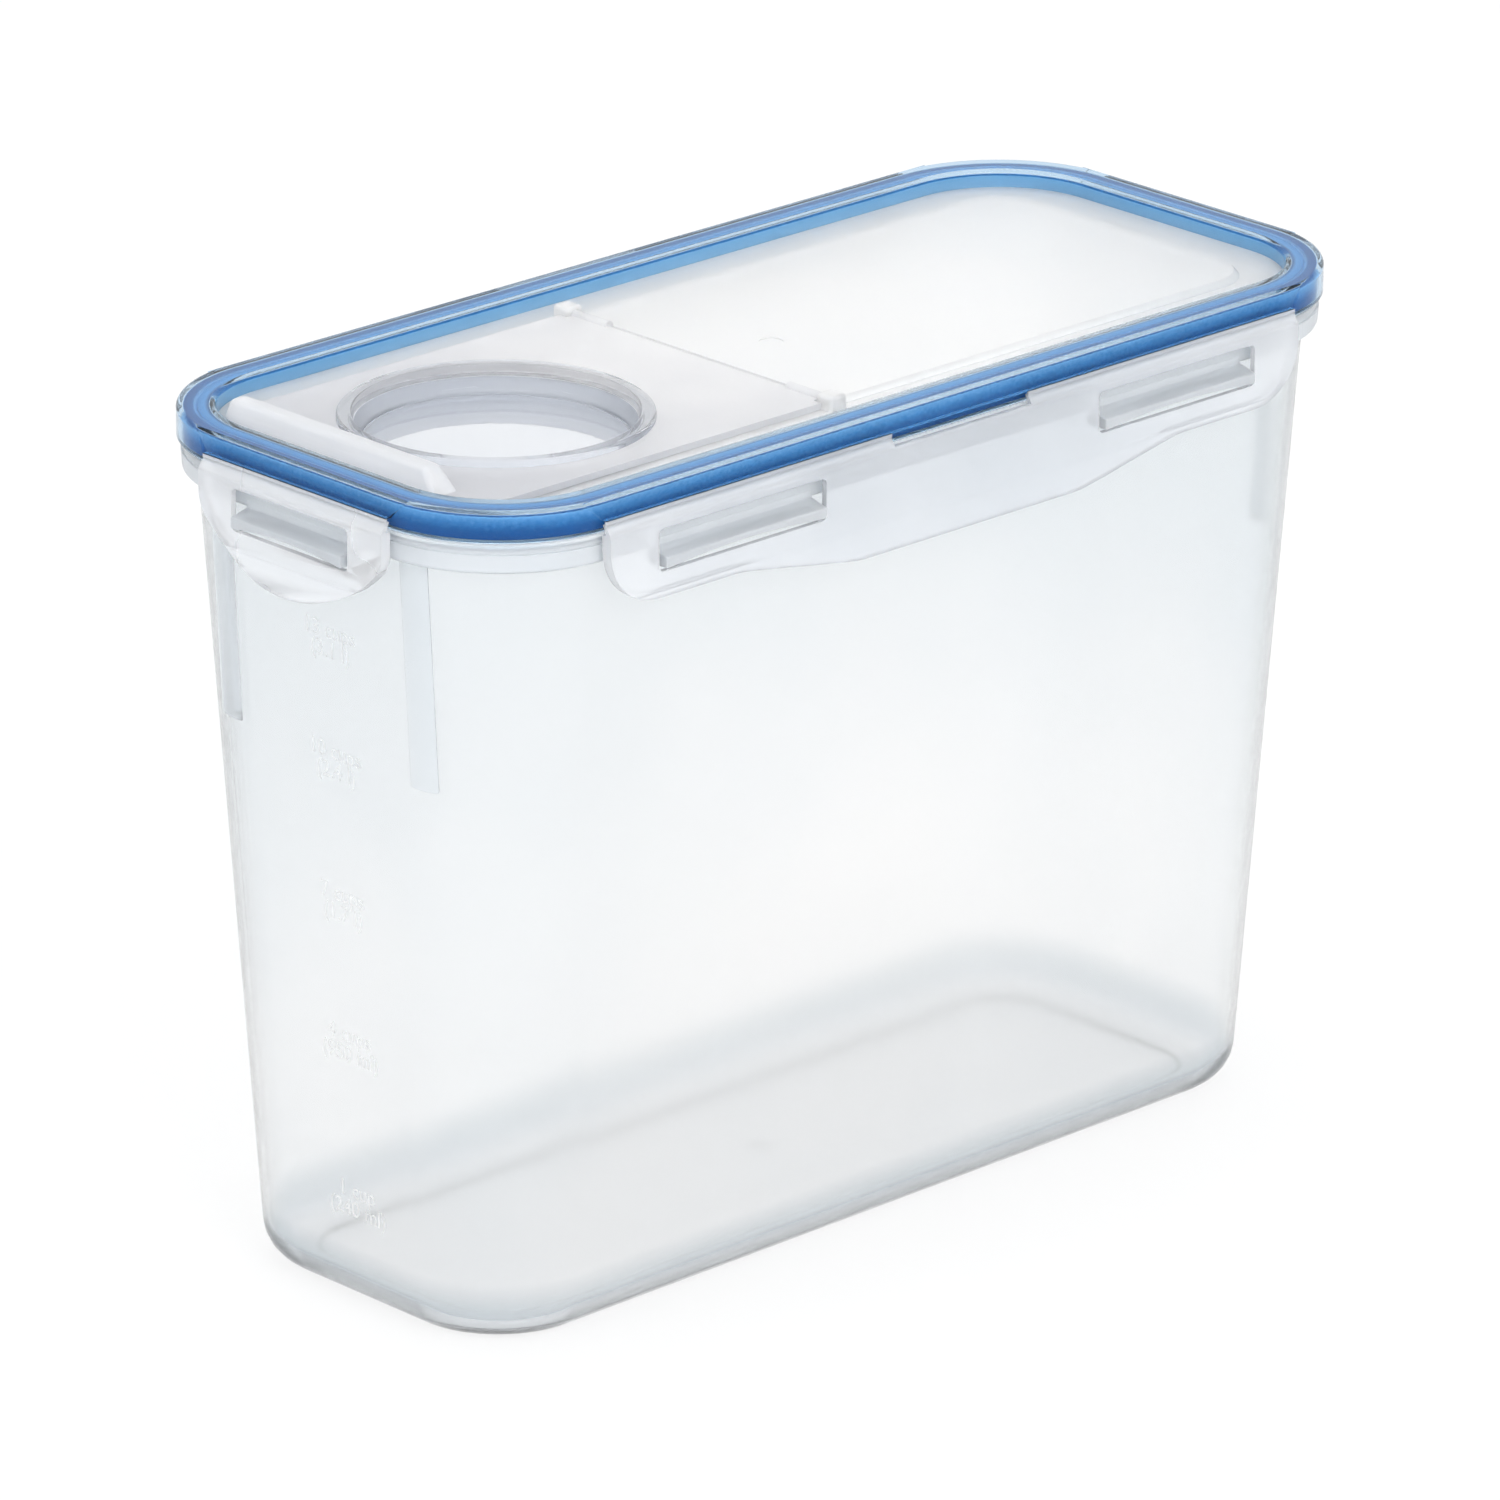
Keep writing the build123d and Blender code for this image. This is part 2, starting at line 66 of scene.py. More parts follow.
def startPiece(name):  # an empty mesh in edit mode
    deselectAll()
    bpy.ops.object.add(type="MESH")
    piece = bpy.context.object
    piece.name = piece.data.name = name
    bpy.ops.object.mode_set(mode="EDIT")
    return piece


def closeUp(piece):  # weld the doubles, turn the faces outwards, leave edit mode
    bpy.ops.mesh.select_all(action="SELECT")
    bpy.ops.mesh.remove_doubles(threshold=0.002 * mm)
    bpy.ops.mesh.normals_make_consistent(inside=False)
    bpy.ops.object.mode_set(mode="OBJECT")
    return piece


def pick(piece, kind, test):  # select in edit mode what passes the test
    bpy.ops.mesh.select_mode(type=kind)
    bpy.ops.mesh.select_all(action="DESELECT")
    mesh = bmesh.from_edit_mesh(piece.data)
    for item in {"VERT": mesh.verts, "EDGE": mesh.edges, "FACE": mesh.faces}[kind]:
        item.select_set(test(item))
    mesh.select_flush_mode()
    bmesh.update_edit_mesh(piece.data)


def middle(edge):
    return (edge.verts[0].co + edge.verts[1].co) / 2


def along(edge):
    return (edge.verts[0].co - edge.verts[1].co).normalized()


def modify(piece, kind, **settings):  # add a modifier, set it and apply it
    activate(piece)
    bpy.ops.object.modifier_add(type=kind)
    modifier = piece.modifiers[-1]
    for key, value in settings.items():
        setattr(modifier, key, value)
    bpy.ops.object.modifier_apply(modifier=modifier.name)


def combine(piece, operation, *others):  # join with or cut by other closed meshes, which then go
    for other in others:
        modify(piece, "BOOLEAN", object=other, operation=operation, solver="MANIFOLD")
        bpy.data.objects.remove(other)
    return piece


def turnAbout(piece, angle):  # turn a mesh about the upright axis and keep its object unturned
    piece.data.transform(Matrix.Rotation(math.radians(angle), 4, "Z"))
    return piece


def shade(piece, angle=35):
    activate(piece)
    bpy.ops.object.shade_smooth_by_angle(angle=math.radians(angle))
    modify(piece, "WEIGHTED_NORMAL", keep_sharp=True, weight=80)


def softenEdges(piece, width, segments=3, angle=30):  # round what is sharp, keep flats flat
    modify(piece, "BEVEL", width=width, segments=segments, limit_method="ANGLE",
           angle_limit=math.radians(angle), miter_outer="MITER_ARC", use_clamp_overlap=True)
    shade(piece, 50)


def paintFaces(piece, material, test):  # a second finish for faces, by their middle and their corners
    piece.data.materials.append(material)
    for face in piece.data.polygons:
        if test(face.center, [piece.data.vertices[i].co for i in face.vertices]):
            face.material_index = len(piece.data.materials) - 1


def isWithin(points, centreX, radius):  # do all the points lie in an upright cylinder on the middle line
    return all((point.xy - Vector((centreX, 0))).length < radius for point in points)


def dress(piece, material, body, node=None):  # finish, material slot, body and node of a piece
    piece.data.materials.clear()
    piece.data.materials.append(material)
    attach(piece, body)
    if node:
        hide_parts(node)


# Blocks, rings and sweeps.

def makeBlock(name, low, high):
    piece = startPiece(name)
    size = [b - a for a, b in zip(low, high)]
    centre = [(a + b) / 2 for a, b in zip(low, high)]
    bpy.ops.mesh.primitive_cube_add(size=1, location=centre)
    bpy.ops.transform.resize(value=size, center_override=centre)
    bpy.ops.object.mode_set(mode="OBJECT")
    return piece


def roundUprights(piece, radius, steps, test):  # round the upright edges of a block that pass the test
    activate(piece)
    bpy.ops.object.mode_set(mode="EDIT")
    pick(piece, "EDGE", lambda e: abs(along(e).z) > 0.99 and test(middle(e)))
    bpy.ops.mesh.bevel(offset=radius, segments=steps, affect="EDGES", clamp_overlap=False)
    bpy.ops.object.mode_set(mode="OBJECT")
    return piece


def makeRod(name, centre, radius, length, axis, steps=32):
    piece = startPiece(name)
    turn = {"X": (0, math.pi / 2, 0), "Y": (math.pi / 2, 0, 0), "Z": (0, 0, 0)}[axis]
    bpy.ops.mesh.primitive_cylinder_add(vertices=steps, radius=radius, depth=length, location=centre,
                                        rotation=turn)
    bpy.ops.object.mode_set(mode="OBJECT")
    return piece


def roundCorners(points, closed, steps=5):  # (across, up, rounding) as plain points with arcs
    rounded = []
    count = len(points)
    for i, (x, z, radius) in enumerate(points):
        here = Vector((x, z))
        if radius == 0 or (not closed and i in (0, count - 1)):
            rounded.append(here)
            continue
        before = (Vector(points[i - 1][:2]) - here).normalized()
        after = (Vector(points[(i + 1) % count][:2]) - here).normalized()
        half = before.angle(after) / 2
        reach = radius / math.tan(half)
        centre = here + (before + after).normalized() * radius / math.sin(half)
        first = here + before * reach - centre
        last = here + after * reach - centre
        turn = first.angle_signed(last)
        for step in range(steps + 1):
            rounded.append(centre + Matrix.Rotation(-turn * step / steps, 2) @ first)
    return [tuple(p) for p in rounded]


def makePrism(name, points, low, high):  # an outline seen from the front, between two depths in Y
    piece = startPiece(name)
    bpy.ops.mesh.primitive_circle_add(vertices=len(points), radius=1, fill_type="NGON")
    mesh = bmesh.from_edit_mesh(piece.data)
    mesh.verts.ensure_lookup_table()
    for corner, (x, z) in zip(mesh.verts, points):
        corner.co = (x, low, z)
    bmesh.update_edit_mesh(piece.data)
    bpy.ops.mesh.select_all(action="SELECT")
    bpy.ops.mesh.extrude_region_move(TRANSFORM_OT_translate={"value": (0, high - low, 0)})
    return closeUp(piece)


def addRoundedRing(length, width, radius, z, steps):
    bpy.ops.mesh.primitive_plane_add(size=1, location=(0, 0, z))
    bpy.ops.transform.resize(value=(length, width, 1), center_override=(0, 0, z))
    bpy.ops.mesh.bevel(offset=radius, segments=steps, affect="VERTICES", clamp_overlap=False)


def addCircle(centre, radius, z, steps):
    bpy.ops.mesh.primitive_circle_add(vertices=steps, radius=radius, fill_type="NGON",
                                      location=(centre[0], centre[1], z))


def sweep(name, profile, addRing, closed):  # bridge the ring at each point of a profile to the next
    piece = startPiece(name)
    nextOnes = profile[1:] + (profile[:1] if closed else [])
    for start, stop in zip(profile, nextOnes):
        addRing(*start)
        addRing(*stop)
        bpy.ops.mesh.select_all(action="SELECT")
        bpy.ops.mesh.delete(type="ONLY_FACE")
        bpy.ops.mesh.select_all(action="SELECT")
        bpy.ops.mesh.bridge_edge_loops()
        bpy.ops.mesh.select_all(action="SELECT")
        bpy.ops.mesh.hide(unselected=False)
    bpy.ops.mesh.reveal(select=True)
    bpy.ops.mesh.remove_doubles(threshold=0.002 * mm)
    if not closed:
        bpy.ops.mesh.fill_holes(sides=0)
    return closeUp(piece)


# Materials.

def toLinear(code):  # an sRGB hex colour as linear RGBA
    channels = [int(code[i:i + 2], 16) / 255 for i in (1, 3, 5)]
    return tuple(c / 12.92 if c <= 0.04045 else ((c + 0.055) / 1.055) ** 2.4 for c in channels) + (1.0,)


def addNode(tree, kind, settings=None, links=None, **attributes):
    node = tree.nodes.new(kind)
    for key, value in attributes.items():
        setattr(node, key, value)
    for key, value in (settings or {}).items():
        node.inputs[key].default_value = value
    for key, (source, output) in (links or {}).items():
        tree.links.new(source.outputs[output], node.inputs[key])
    return node


def fillRamp(node, bands):  # give a colour ramp its stops, from (position, colour)
    stops = node.color_ramp.elements
    while len(stops) < len(bands):
        stops.new(0.5)
    for stop, (position, colour) in zip(stops, bands):
        stop.position = position
        stop.color = toLinear(colour)


def newMaterial(name):
    material = bpy.data.materials.new(name)
    material.use_nodes = True
    material.node_tree.nodes.clear()
    return material, material.node_tree


# Polypropylene, injection moulded: see-through but a little milky, so that what lies behind is blurred.
# It is clearest near the gate and milkier where the melt arrived cooler, with a drift over some
# centimetres. A finer grain from the mould dulls the shine.
# Its index is below the usual 1.49, so that thin edges don't go darker than they are.
def makePolypropylene(name, look):
    material, tree = newMaterial(name)
    where = addNode(tree, "ShaderNodeTexCoord")
    toGate = tuple(-v for v in look.get("gate", (0, 0, 0)))
    fromGate = addNode(tree, "ShaderNodeMapping", {"Location": toGate}, {"Vector": (where, "Object")})
    drawn = addNode(tree, "ShaderNodeMapping", {"Scale": look.get("stretch", (1, 1, 1))},
                    {"Vector": (where, "Object")})
    flow = addNode(tree, "ShaderNodeTexNoise", {"Scale": 1 / look["flow"], "Detail": 2.0},
                   {"Vector": (drawn, "Vector")})
    grain = addNode(tree, "ShaderNodeTexNoise", {"Scale": 1 / look["grain"], "Detail": 4.0},
                    {"Vector": (drawn, "Vector")})
    distance = addNode(tree, "ShaderNodeVectorMath", None, {0: (fromGate, "Vector")}, operation="LENGTH")
    cooled = addNode(tree, "ShaderNodeMapRange", {"From Min": look["reach"][0], "From Max": look["reach"][1],
                     "To Min": -0.4, "To Max": 0.6}, {"Value": (distance, "Value")})
    milky = addNode(tree, "ShaderNodeMath", {1: 0.8}, {0: (flow, "Fac"), 2: (cooled, "Result")},
                    operation="MULTIPLY_ADD", use_clamp=True)
    haze = addNode(tree, "ShaderNodeMapRange", {"To Min": look["roughness"][0], "To Max": look["roughness"][1]},
                   {"Value": (milky, "Value")})
    tint = addNode(tree, "ShaderNodeValToRGB", None, {"Fac": (milky, "Value")})
    tint.color_ramp.elements[0].color = toLinear(look["colour"][0])
    tint.color_ramp.elements[1].color = toLinear(look["colour"][1])
    if "foot" in look:  # painted shade: a grey band on the rounded foot, where the shadowed floor shows through it
        place = addNode(tree, "ShaderNodeSeparateXYZ", None, {"Vector": (where, "Object")})
        share = addNode(tree, "ShaderNodeMath", {1: look["footShadeHeight"]}, {0: (place, "Z")}, operation="DIVIDE")
        foot = addNode(tree, "ShaderNodeValToRGB", None, {"Fac": (share, "Value")})
        fillRamp(foot, look["foot"])
        tint = addNode(tree, "ShaderNodeVectorMath", None, {0: (tint, "Color"), 1: (foot, "Color")},
                       operation="MULTIPLY")
    bump = addNode(tree, "ShaderNodeBump", {"Strength": 1.0, "Distance": look["grainDepth"]},
                   {"Height": (grain, "Fac")})
    shader = addNode(tree, "ShaderNodeBsdfPrincipled",
                     {"IOR": look["index"], "Transmission Weight": look["clear"]},
                     {"Base Color": (tint, 0), "Normal": (bump, "Normal"), "Roughness": (haze, "Result")})
    addNode(tree, "ShaderNodeOutputMaterial", None, {"Surface": (shader, "BSDF")})
    return material


# Silicone, compression moulded: solid blue with a satin skin. Its bands are partly painted light: paler where a
# film of air lies between seal and lid, with painted highlight lines and dark lines from the lid's rounded edges.
# The bands follow a map across the seal.
def makeSilicone(name, look):
    material, tree = newMaterial(name)
    across = addNode(tree, "ShaderNodeUVMap", uv_map="acrossSeal")
    place = addNode(tree, "ShaderNodeSeparateXYZ", None, {"Vector": (across, "UV")})
    where = addNode(tree, "ShaderNodeTexCoord")
    specks = addNode(tree, "ShaderNodeTexNoise", {"Scale": 1 / look["speck"], "Detail": 5.0, "Roughness": 0.75},
                     {"Vector": (where, "Object")})
    centred = addNode(tree, "ShaderNodeMath", {1: 0.5}, {0: (specks, "Fac")}, operation="SUBTRACT")
    reach = addNode(tree, "ShaderNodeMapRange", {"From Min": 0.26, "From Max": 0.32, "To Min": look["ragged"],
                    "To Max": 0.03}, {"Value": (place, "X")})
    shift = addNode(tree, "ShaderNodeMath", None, {0: (centred, "Value"), 1: (reach, "Result")},
                    operation="MULTIPLY")
    moved = addNode(tree, "ShaderNodeMath", None, {0: (place, "X"), 1: (shift, "Value")}, operation="ADD")
    ramp = addNode(tree, "ShaderNodeValToRGB", None, {"Fac": (moved, "Value")})
    fillRamp(ramp, look["bands"])
    bump = addNode(tree, "ShaderNodeBump", {"Strength": 1.0, "Distance": look["skin"]},
                   {"Height": (specks, "Fac")})
    shader = addNode(tree, "ShaderNodeBsdfPrincipled",
                     {"Roughness": 0.35, "IOR": 1.43, "Specular IOR Level": 0.15},
                     {"Base Color": (ramp, "Color"), "Normal": (bump, "Normal")})
    addNode(tree, "ShaderNodeOutputMaterial", None, {"Surface": (shader, "BSDF")})
    return material


# The lid's outline, which everything round it follows.

lidLow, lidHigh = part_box("lid_frame")
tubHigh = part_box("container_body")[1]
sealLow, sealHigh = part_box("lid_gasket")
capLow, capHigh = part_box("flip_cap")

lid = {
    "boss": 1.4 * mm,            # above each flap the wall leans, this far out at the bottom
    "bossSetback": 1.1 * mm,     # and this far in at the top
    "cornerRadius": 32.6 * mm,
    "cornerSteps": 20,
    "channel": 8.4 * mm,
    "channelWall": 1.2 * mm,
    "channelRoof": 1.3 * mm,
    "wallHeight": 7.0 * mm,
    "edge": 1.1 * mm,
    "panelDrop": 4.0 * mm,
    "panel": 1.4 * mm,
    "plateauRise": 1.4 * mm,
    "plateauMargin": 11.0 * mm,
    "plateauRadius": 12.0 * mm,
    "plateauRamp": 1.2 * mm,
    "plateauWall": 0.6 * mm,     # keeps the panel about as thick on the ramp as beside it
}
gateMark = {                     # where the melt came in, on the panel and the floor
    "radius": 2.6 * mm,
    "depth": 0.25 * mm,
    "panelY": -3 * mm,
}
lidLength = lidHigh.x - lidLow.x - 2 * lid["boss"]
lidWidth = lidHigh.y - lidLow.y - 2 * lid["boss"]
lidTop = lidHigh.z
panelTop = lidTop - lid["panelDrop"]
panelLow = panelTop - lid["panel"]
plateauTop = panelTop + lid["plateauRise"]


def addLidRing(offset, z):
    addRoundedRing(lidLength + 2 * offset, lidWidth + 2 * offset, lid["cornerRadius"] + offset, z,
                   lid["cornerSteps"])


def beyondOutline(point, length, width, radius):  # how far a point lies outside a rounded outline
    x = abs(point.x) - (length / 2 - radius)
    y = abs(point.y) - (width / 2 - radius)
    return Vector((max(x, 0), max(y, 0))).length + min(max(x, y), 0) - radius


# Tub.

tub = {
    "baseLength": 236.6 * mm,
    "baseWidth": 86.7 * mm,
    "baseRadius": 24.6 * mm,
    "lipInset": 4.0 * mm,
    "wall": 1.5 * mm,
    "floorTop": 2.6 * mm,
    "footRounding": 8.0 * mm,
    "footRing": 4.0 * mm,
    "recess": 1.0 * mm,
    "rimOut": 3.2 * mm,
    "rimInset": 0.8 * mm,
    "rimTop": 183.6 * mm,
    "rimPlate": 1.6 * mm,
    "rimSkirt": 1.3 * mm,
    "rimHeight": 6.6 * mm,
    "upperBandHeight": 2.4 * mm,
    "upperBandSet": 0.4 * mm,
    "cornerSteps": 20,
}
wallTop = tub["rimTop"] - tub["rimPlate"]
mouthLength = lidLength - 2 * tub["lipInset"]
mouthWidth = lidWidth - 2 * tub["lipInset"]
mouthRadius = lid["cornerRadius"] - tub["lipInset"]


def tubOutline(z):  # length, width and corner radius of the tapered wall at a height
    share = min(z / wallTop, 1)
    return (tub["baseLength"] + share * (mouthLength - tub["baseLength"]),
            tub["baseWidth"] + share * (mouthWidth - tub["baseWidth"]),
            tub["baseRadius"] + share * (mouthRadius - tub["baseRadius"]))


def addTubRing(offset, z):
    length, width, radius = tubOutline(z)
    addRoundedRing(length + 2 * offset, width + 2 * offset, radius + offset, z, tub["cornerSteps"])


def makeTubShell():
    footIn = -(tub["footRounding"] + tub["footRing"])
    rimBottom = tub["rimTop"] - tub["rimHeight"]
    bandBottom = tub["rimTop"] - tub["upperBandHeight"]
    bandOut = tub["rimOut"] - tub["upperBandSet"]
    skirtIn = tub["rimOut"] - tub["rimSkirt"]
    profile = [
        (footIn - 1 * mm, tub["recess"], 0),
        (footIn, tub["recess"], 0.3 * mm),
        (footIn, 0, 0.3 * mm),
        (0, 0, tub["footRounding"]),
        (0, wallTop, 1.2 * mm),
        (skirtIn, wallTop, 0.5 * mm),
        (skirtIn, rimBottom, 0.3 * mm),
        (tub["rimOut"], rimBottom, 0.9 * mm),
        (tub["rimOut"], bandBottom, 0.25 * mm),
        (bandOut - 0.1 * mm, bandBottom, 0.15 * mm),
        (bandOut, tub["rimTop"], 0.9 * mm),
        (0, tub["rimTop"], 0.5 * mm),
        (0, tubHigh.z, 0.45 * mm),
        (-tub["wall"], tubHigh.z, 0.45 * mm),
        (-tub["wall"], tub["floorTop"], tub["footRounding"] - tub["wall"]),
        (footIn, tub["floorTop"], 0),
    ]
    return sweep("tub", roundCorners(profile, closed=False, steps=6), addTubRing, closed=False)


lug = {
    "depth": 4.7 * mm,
    "top": 177.3 * mm,
    "thickness": 3.6 * mm,
    "slope": 1.2 * mm,
    "web": 1.5 * mm,
    "arch": 1.2 * mm,
    "archMargin": 1.2 * mm,      # the arch below ends this far from the lug's corners
    "archSteps": 720,            # its radius is long, so it needs many steps to look smooth
    "edge": 0.35 * mm,
    "longFrom": 41.0 * mm,
    "longTo": 86.5 * mm,
    "shortHalf": 17.0 * mm,
}


def makeLug(start, stop, wallDistance, turn):  # on the front side, then turned to its own side
    face = -wallDistance + tub["rimInset"]
    root = face + tub["rimSkirt"]
    front = face - lug["depth"]
    low = lug["top"] - lug["thickness"]
    webTop = lug["top"] + lug["web"]
    section = [(root, low), (root, webTop), (face, webTop), (face, lug["top"]),
               (front, lug["top"] - lug["slope"]), (front, low)]
    piece = makePrism("lug", section, -stop, -start)
    turnAbout(piece, 90)
    half = (stop - start) / 2 - lug["archMargin"]
    radius = (half ** 2 + lug["arch"] ** 2) / (2 * lug["arch"])
    archCentre = ((start + stop) / 2, face, low + lug["arch"] - radius)
    arch = makeRod("arch", archCentre, radius, 4 * lug["depth"], "Y", lug["archSteps"])
    combine(piece, "DIFFERENCE", arch)
    modify(piece, "BEVEL", width=lug["edge"], segments=3, limit_method="ANGLE", angle_limit=math.radians(40))
    return turnAbout(piece, turn)


rib = {
    "width": 7.5 * mm,
    "height": 1.0 * mm,
    "innerY": 26.0 * mm,
    "bottom": 126.0 * mm,
}


def makeRib(end, hand):  # a half-round upright bead on an end wall, lying on the start of the corner's arc
    piece = startPiece("rib")
    middleY = rib["innerY"] + rib["width"] / 2
    top = wallTop + 0.5 * mm
    bpy.ops.mesh.primitive_cylinder_add(vertices=40, radius=1, depth=1)
    bpy.ops.transform.resize(value=(rib["height"] * 1.15, rib["width"] / 2, top - rib["bottom"]),
                             center_override=(0, 0, 0))
    pick(piece, "EDGE", lambda e: middle(e).z < 0 and abs(along(e).z) < 0.1)
    bpy.ops.mesh.bevel(offset=0.7 * mm, segments=4, affect="EDGES")
    bpy.ops.object.mode_set(mode="OBJECT")
    places = []
    for z in (rib["bottom"], top):
        length, width, radius = tubOutline(z)
        fall = math.asin(max(0, middleY - (width / 2 - radius)) / radius)
        x = length / 2 - radius * (1 - math.cos(fall)) - 0.15 * mm
        places.append(Vector((end * x, hand * middleY, z)))
    lean = math.atan2(places[1].x - places[0].x, top - rib["bottom"])
    turn = Matrix.Rotation(lean, 4, "Y") @ Matrix.Rotation(end * hand * fall, 4, "Z")
    piece.data.transform(Matrix.Translation((places[0] + places[1]) / 2) @ turn)
    return piece


def makeTub():
    shell = makeTubShell()
    extras = []
    for turn in (0, 180):
        extras.append(makeLug(-lug["longTo"], -lug["longFrom"], lidWidth / 2, turn))
        extras.append(makeLug(lug["longFrom"], lug["longTo"], lidWidth / 2, turn))
    for turn in (90, -90):
        extras.append(makeLug(-lug["shortHalf"], lug["shortHalf"], lidLength / 2, turn))
    for end in (-1, 1):
        for hand in (-1, 1):
            extras.append(makeRib(end, hand))
    combine(shell, "UNION", *extras)
    gate = makeRod("gate", (0, 0, tub["floorTop"]), gateMark["radius"], 2 * gateMark["depth"], "Z")
    combine(shell, "DIFFERENCE", gate)
    shade(shell, 40)
    return shell


tubPlastic = makePolypropylene("clearPolypropyleneTub", {
    "colour": ("#ffffff", "#f6f9fb"), "index": 1.3, "clear": 0.92, "roughness": (0.14, 0.2),
    "flow": 60 * mm, "grain": 3 * mm, "grainDepth": 0.004 * mm, "reach": (100 * mm, 180 * mm),
    "footShadeHeight": 14 * mm,
    # The foot ramp is painted shade: a grey band on the rounded foot, painted lighter along the lowest edge
    # against the shade that edge takes.
    "foot": ((0.0, "#f8f9fa"), (0.19, "#f4f6f8"), (0.26, "#dfe4e8"), (0.55, "#e3e8eb"), (1.0, "#ffffff")),
})
# The ribs are a little thicker than the wall, so they are milkier; their grey is painted shade, for the shading
# along each bead.
ribShadedPlastic = makePolypropylene("shadedPolypropyleneRibs", {
    "colour": ("#e4e9ed", "#d9dfe4"), "index": 1.3, "clear": 0.74, "roughness": (0.18, 0.25),
    "flow": 20 * mm, "grain": 1.5 * mm, "grainDepth": 0.01 * mm, "reach": (100 * mm, 240 * mm),
})
# The rim and lugs are thick, so they are milky.
rimPlastic = makePolypropylene("milkyPolypropyleneRim", {
    "colour": ("#f0f2f4", "#e6eaee"), "index": 1.26, "clear": 0.6, "roughness": (0.25, 0.35),
    "flow": 20 * mm, "grain": 1.5 * mm, "grainDepth": 0.01 * mm, "reach": (100 * mm, 240 * mm),
})
tubPiece = makeTub()
dress(tubPiece, tubPlastic, "container", "container_body")
ribLow, lugLow = rib["bottom"] - mm, lug["top"] - lug["thickness"] - mm
wallMargin = 0.15 * mm  # faces further out than this are on a rib, a lug or the rim
paintFaces(tubPiece, ribShadedPlastic, lambda c, corners: c.z > ribLow
           and beyondOutline(c, *tubOutline(c.z)) > wallMargin)
paintFaces(tubPiece, rimPlastic, lambda c, corners: c.z > lugLow
           and beyondOutline(c, *tubOutline(c.z)) > wallMargin)
print("tub", len(tubPiece.data.polygons))

marks = {
    "labels": ((25, "1 cup\n(240 ml)"), (61, "4 cups\n(950 ml)"), (93, "7 cups\n(1.7 l)"),
               (125, "10 cups\n(2.4 l)"), (152, "13 cups\n(3.1 l)")),
    "letter": 5.2 * mm,
    "proud": 0.1 * mm,
    "middleY": -3.0 * mm,
}


def makeMarks():  # the raised measuring marks on the end wall below the spout, as plain numbers
    lean = math.atan2((mouthLength - tub["baseLength"]) / 2, wallTop)
    pieces = []
    for height, words in marks["labels"]:
        z = height * mm
        deselectAll()
        bpy.ops.object.text_add()
        text = bpy.context.object
        text.data.body = words
        text.data.size = marks["letter"]
        text.data.align_x = text.data.align_y = "CENTER"
        text.data.extrude = marks["proud"] / 2
        text.data.space_line = 0.85
        text.data.resolution_u = 3
        bpy.ops.object.convert(target="MESH")
        x = -tubOutline(z)[0] / 2 - marks["proud"] / 2 + 0.01 * mm
        across, up = Vector((0, -1, 0)), Vector((-math.sin(lean), 0, math.cos(lean)))
        place = Matrix((across, up, across.cross(up))).transposed().to_4x4()
        place.translation = (x, marks["middleY"], z)
        bpy.context.object.data.transform(place)
        pieces.append(bpy.context.object)
    deselectAll()
    for piece in pieces:
        piece.select_set(True)
    bpy.context.view_layer.objects.active = pieces[0]
    bpy.ops.object.join()
    pieces[0].name = pieces[0].data.name = "measuring_marks"
    bpy.ops.object.mode_set(mode="EDIT")
    return closeUp(pieces[0])


# The marks are frosted by spark erosion in the mould, so they read a shade whiter than the wall.
markPlastic = makePolypropylene("frostedPolypropyleneMarks", {
    "colour": ("#ffffff", "#fbfcfd"), "index": 1.1, "clear": 0.72, "roughness": (0.4, 0.5),
    "flow": 5 * mm, "grain": 0.5 * mm, "grainDepth": 0.004 * mm, "reach": (100 * mm, 240 * mm),
})
marksPiece = makeMarks()
dress(marksPiece, markPlastic, "container")
print("marks", len(marksPiece.data.polygons))

# Lid.

spout = {
    "x": -76.2 * mm,
    "radius": 30.8 * mm,
    "collarWall": 1.4 * mm,
    "collarDepth": 8.0 * mm,
    "steps": 96,
}
hinge = {
    "x": -18.5 * mm,
    "z": 188.5 * mm,
    "pin": 1.2 * mm,
    "pinLength": 12.6 * mm,
    "earWidth": 4.8 * mm,
    "earWall": 1.2 * mm,
    "earRoof": 0.7 * mm,
    "rearGap": 1.2 * mm,
}
capHalf = capHigh.y
flapLine = {
    "z": 186.2 * mm,
    "gap": 0.8 * mm,
    "longHalf": 101.0 * mm,
    "shortHalf": 28.2 * mm,
    "notchHalf": 20.0 * mm,
}


def makeChannel():
    wall, depth, edge = lid["channelWall"], lid["channel"], lid["edge"]
    profile = [
        (0, lidTop - lid["wallHeight"], 0.35 * mm),
        (0, lidTop, edge),
        (-depth, lidTop, edge),
        (-depth, lidLow.z + 1.5 * mm, 0.4 * mm),
        (-depth + wall, lidLow.z + 1.5 * mm, 0.4 * mm),
        (-depth + wall, lidTop - lid["channelRoof"], 0.5 * mm),
        (-wall, lidTop - lid["channelRoof"], 0.5 * mm),
        (-wall, lidTop - lid["wallHeight"], 0.35 * mm),
    ]
    return sweep("lid", roundCorners(profile, closed=True), addLidRing, closed=True)


def makeBossSpan(half, height, wallDistance):  # the wall's stretch above a flap, with slanted ends
    low = flapLine["z"] + flapLine["gap"] / 2
    points = [(-half, low), (half, low), (half + height, low + height), (-half - height, low + height)]
    return makePrism("span", points, -wallDistance - 5 * mm, -wallDistance + 5 * mm)


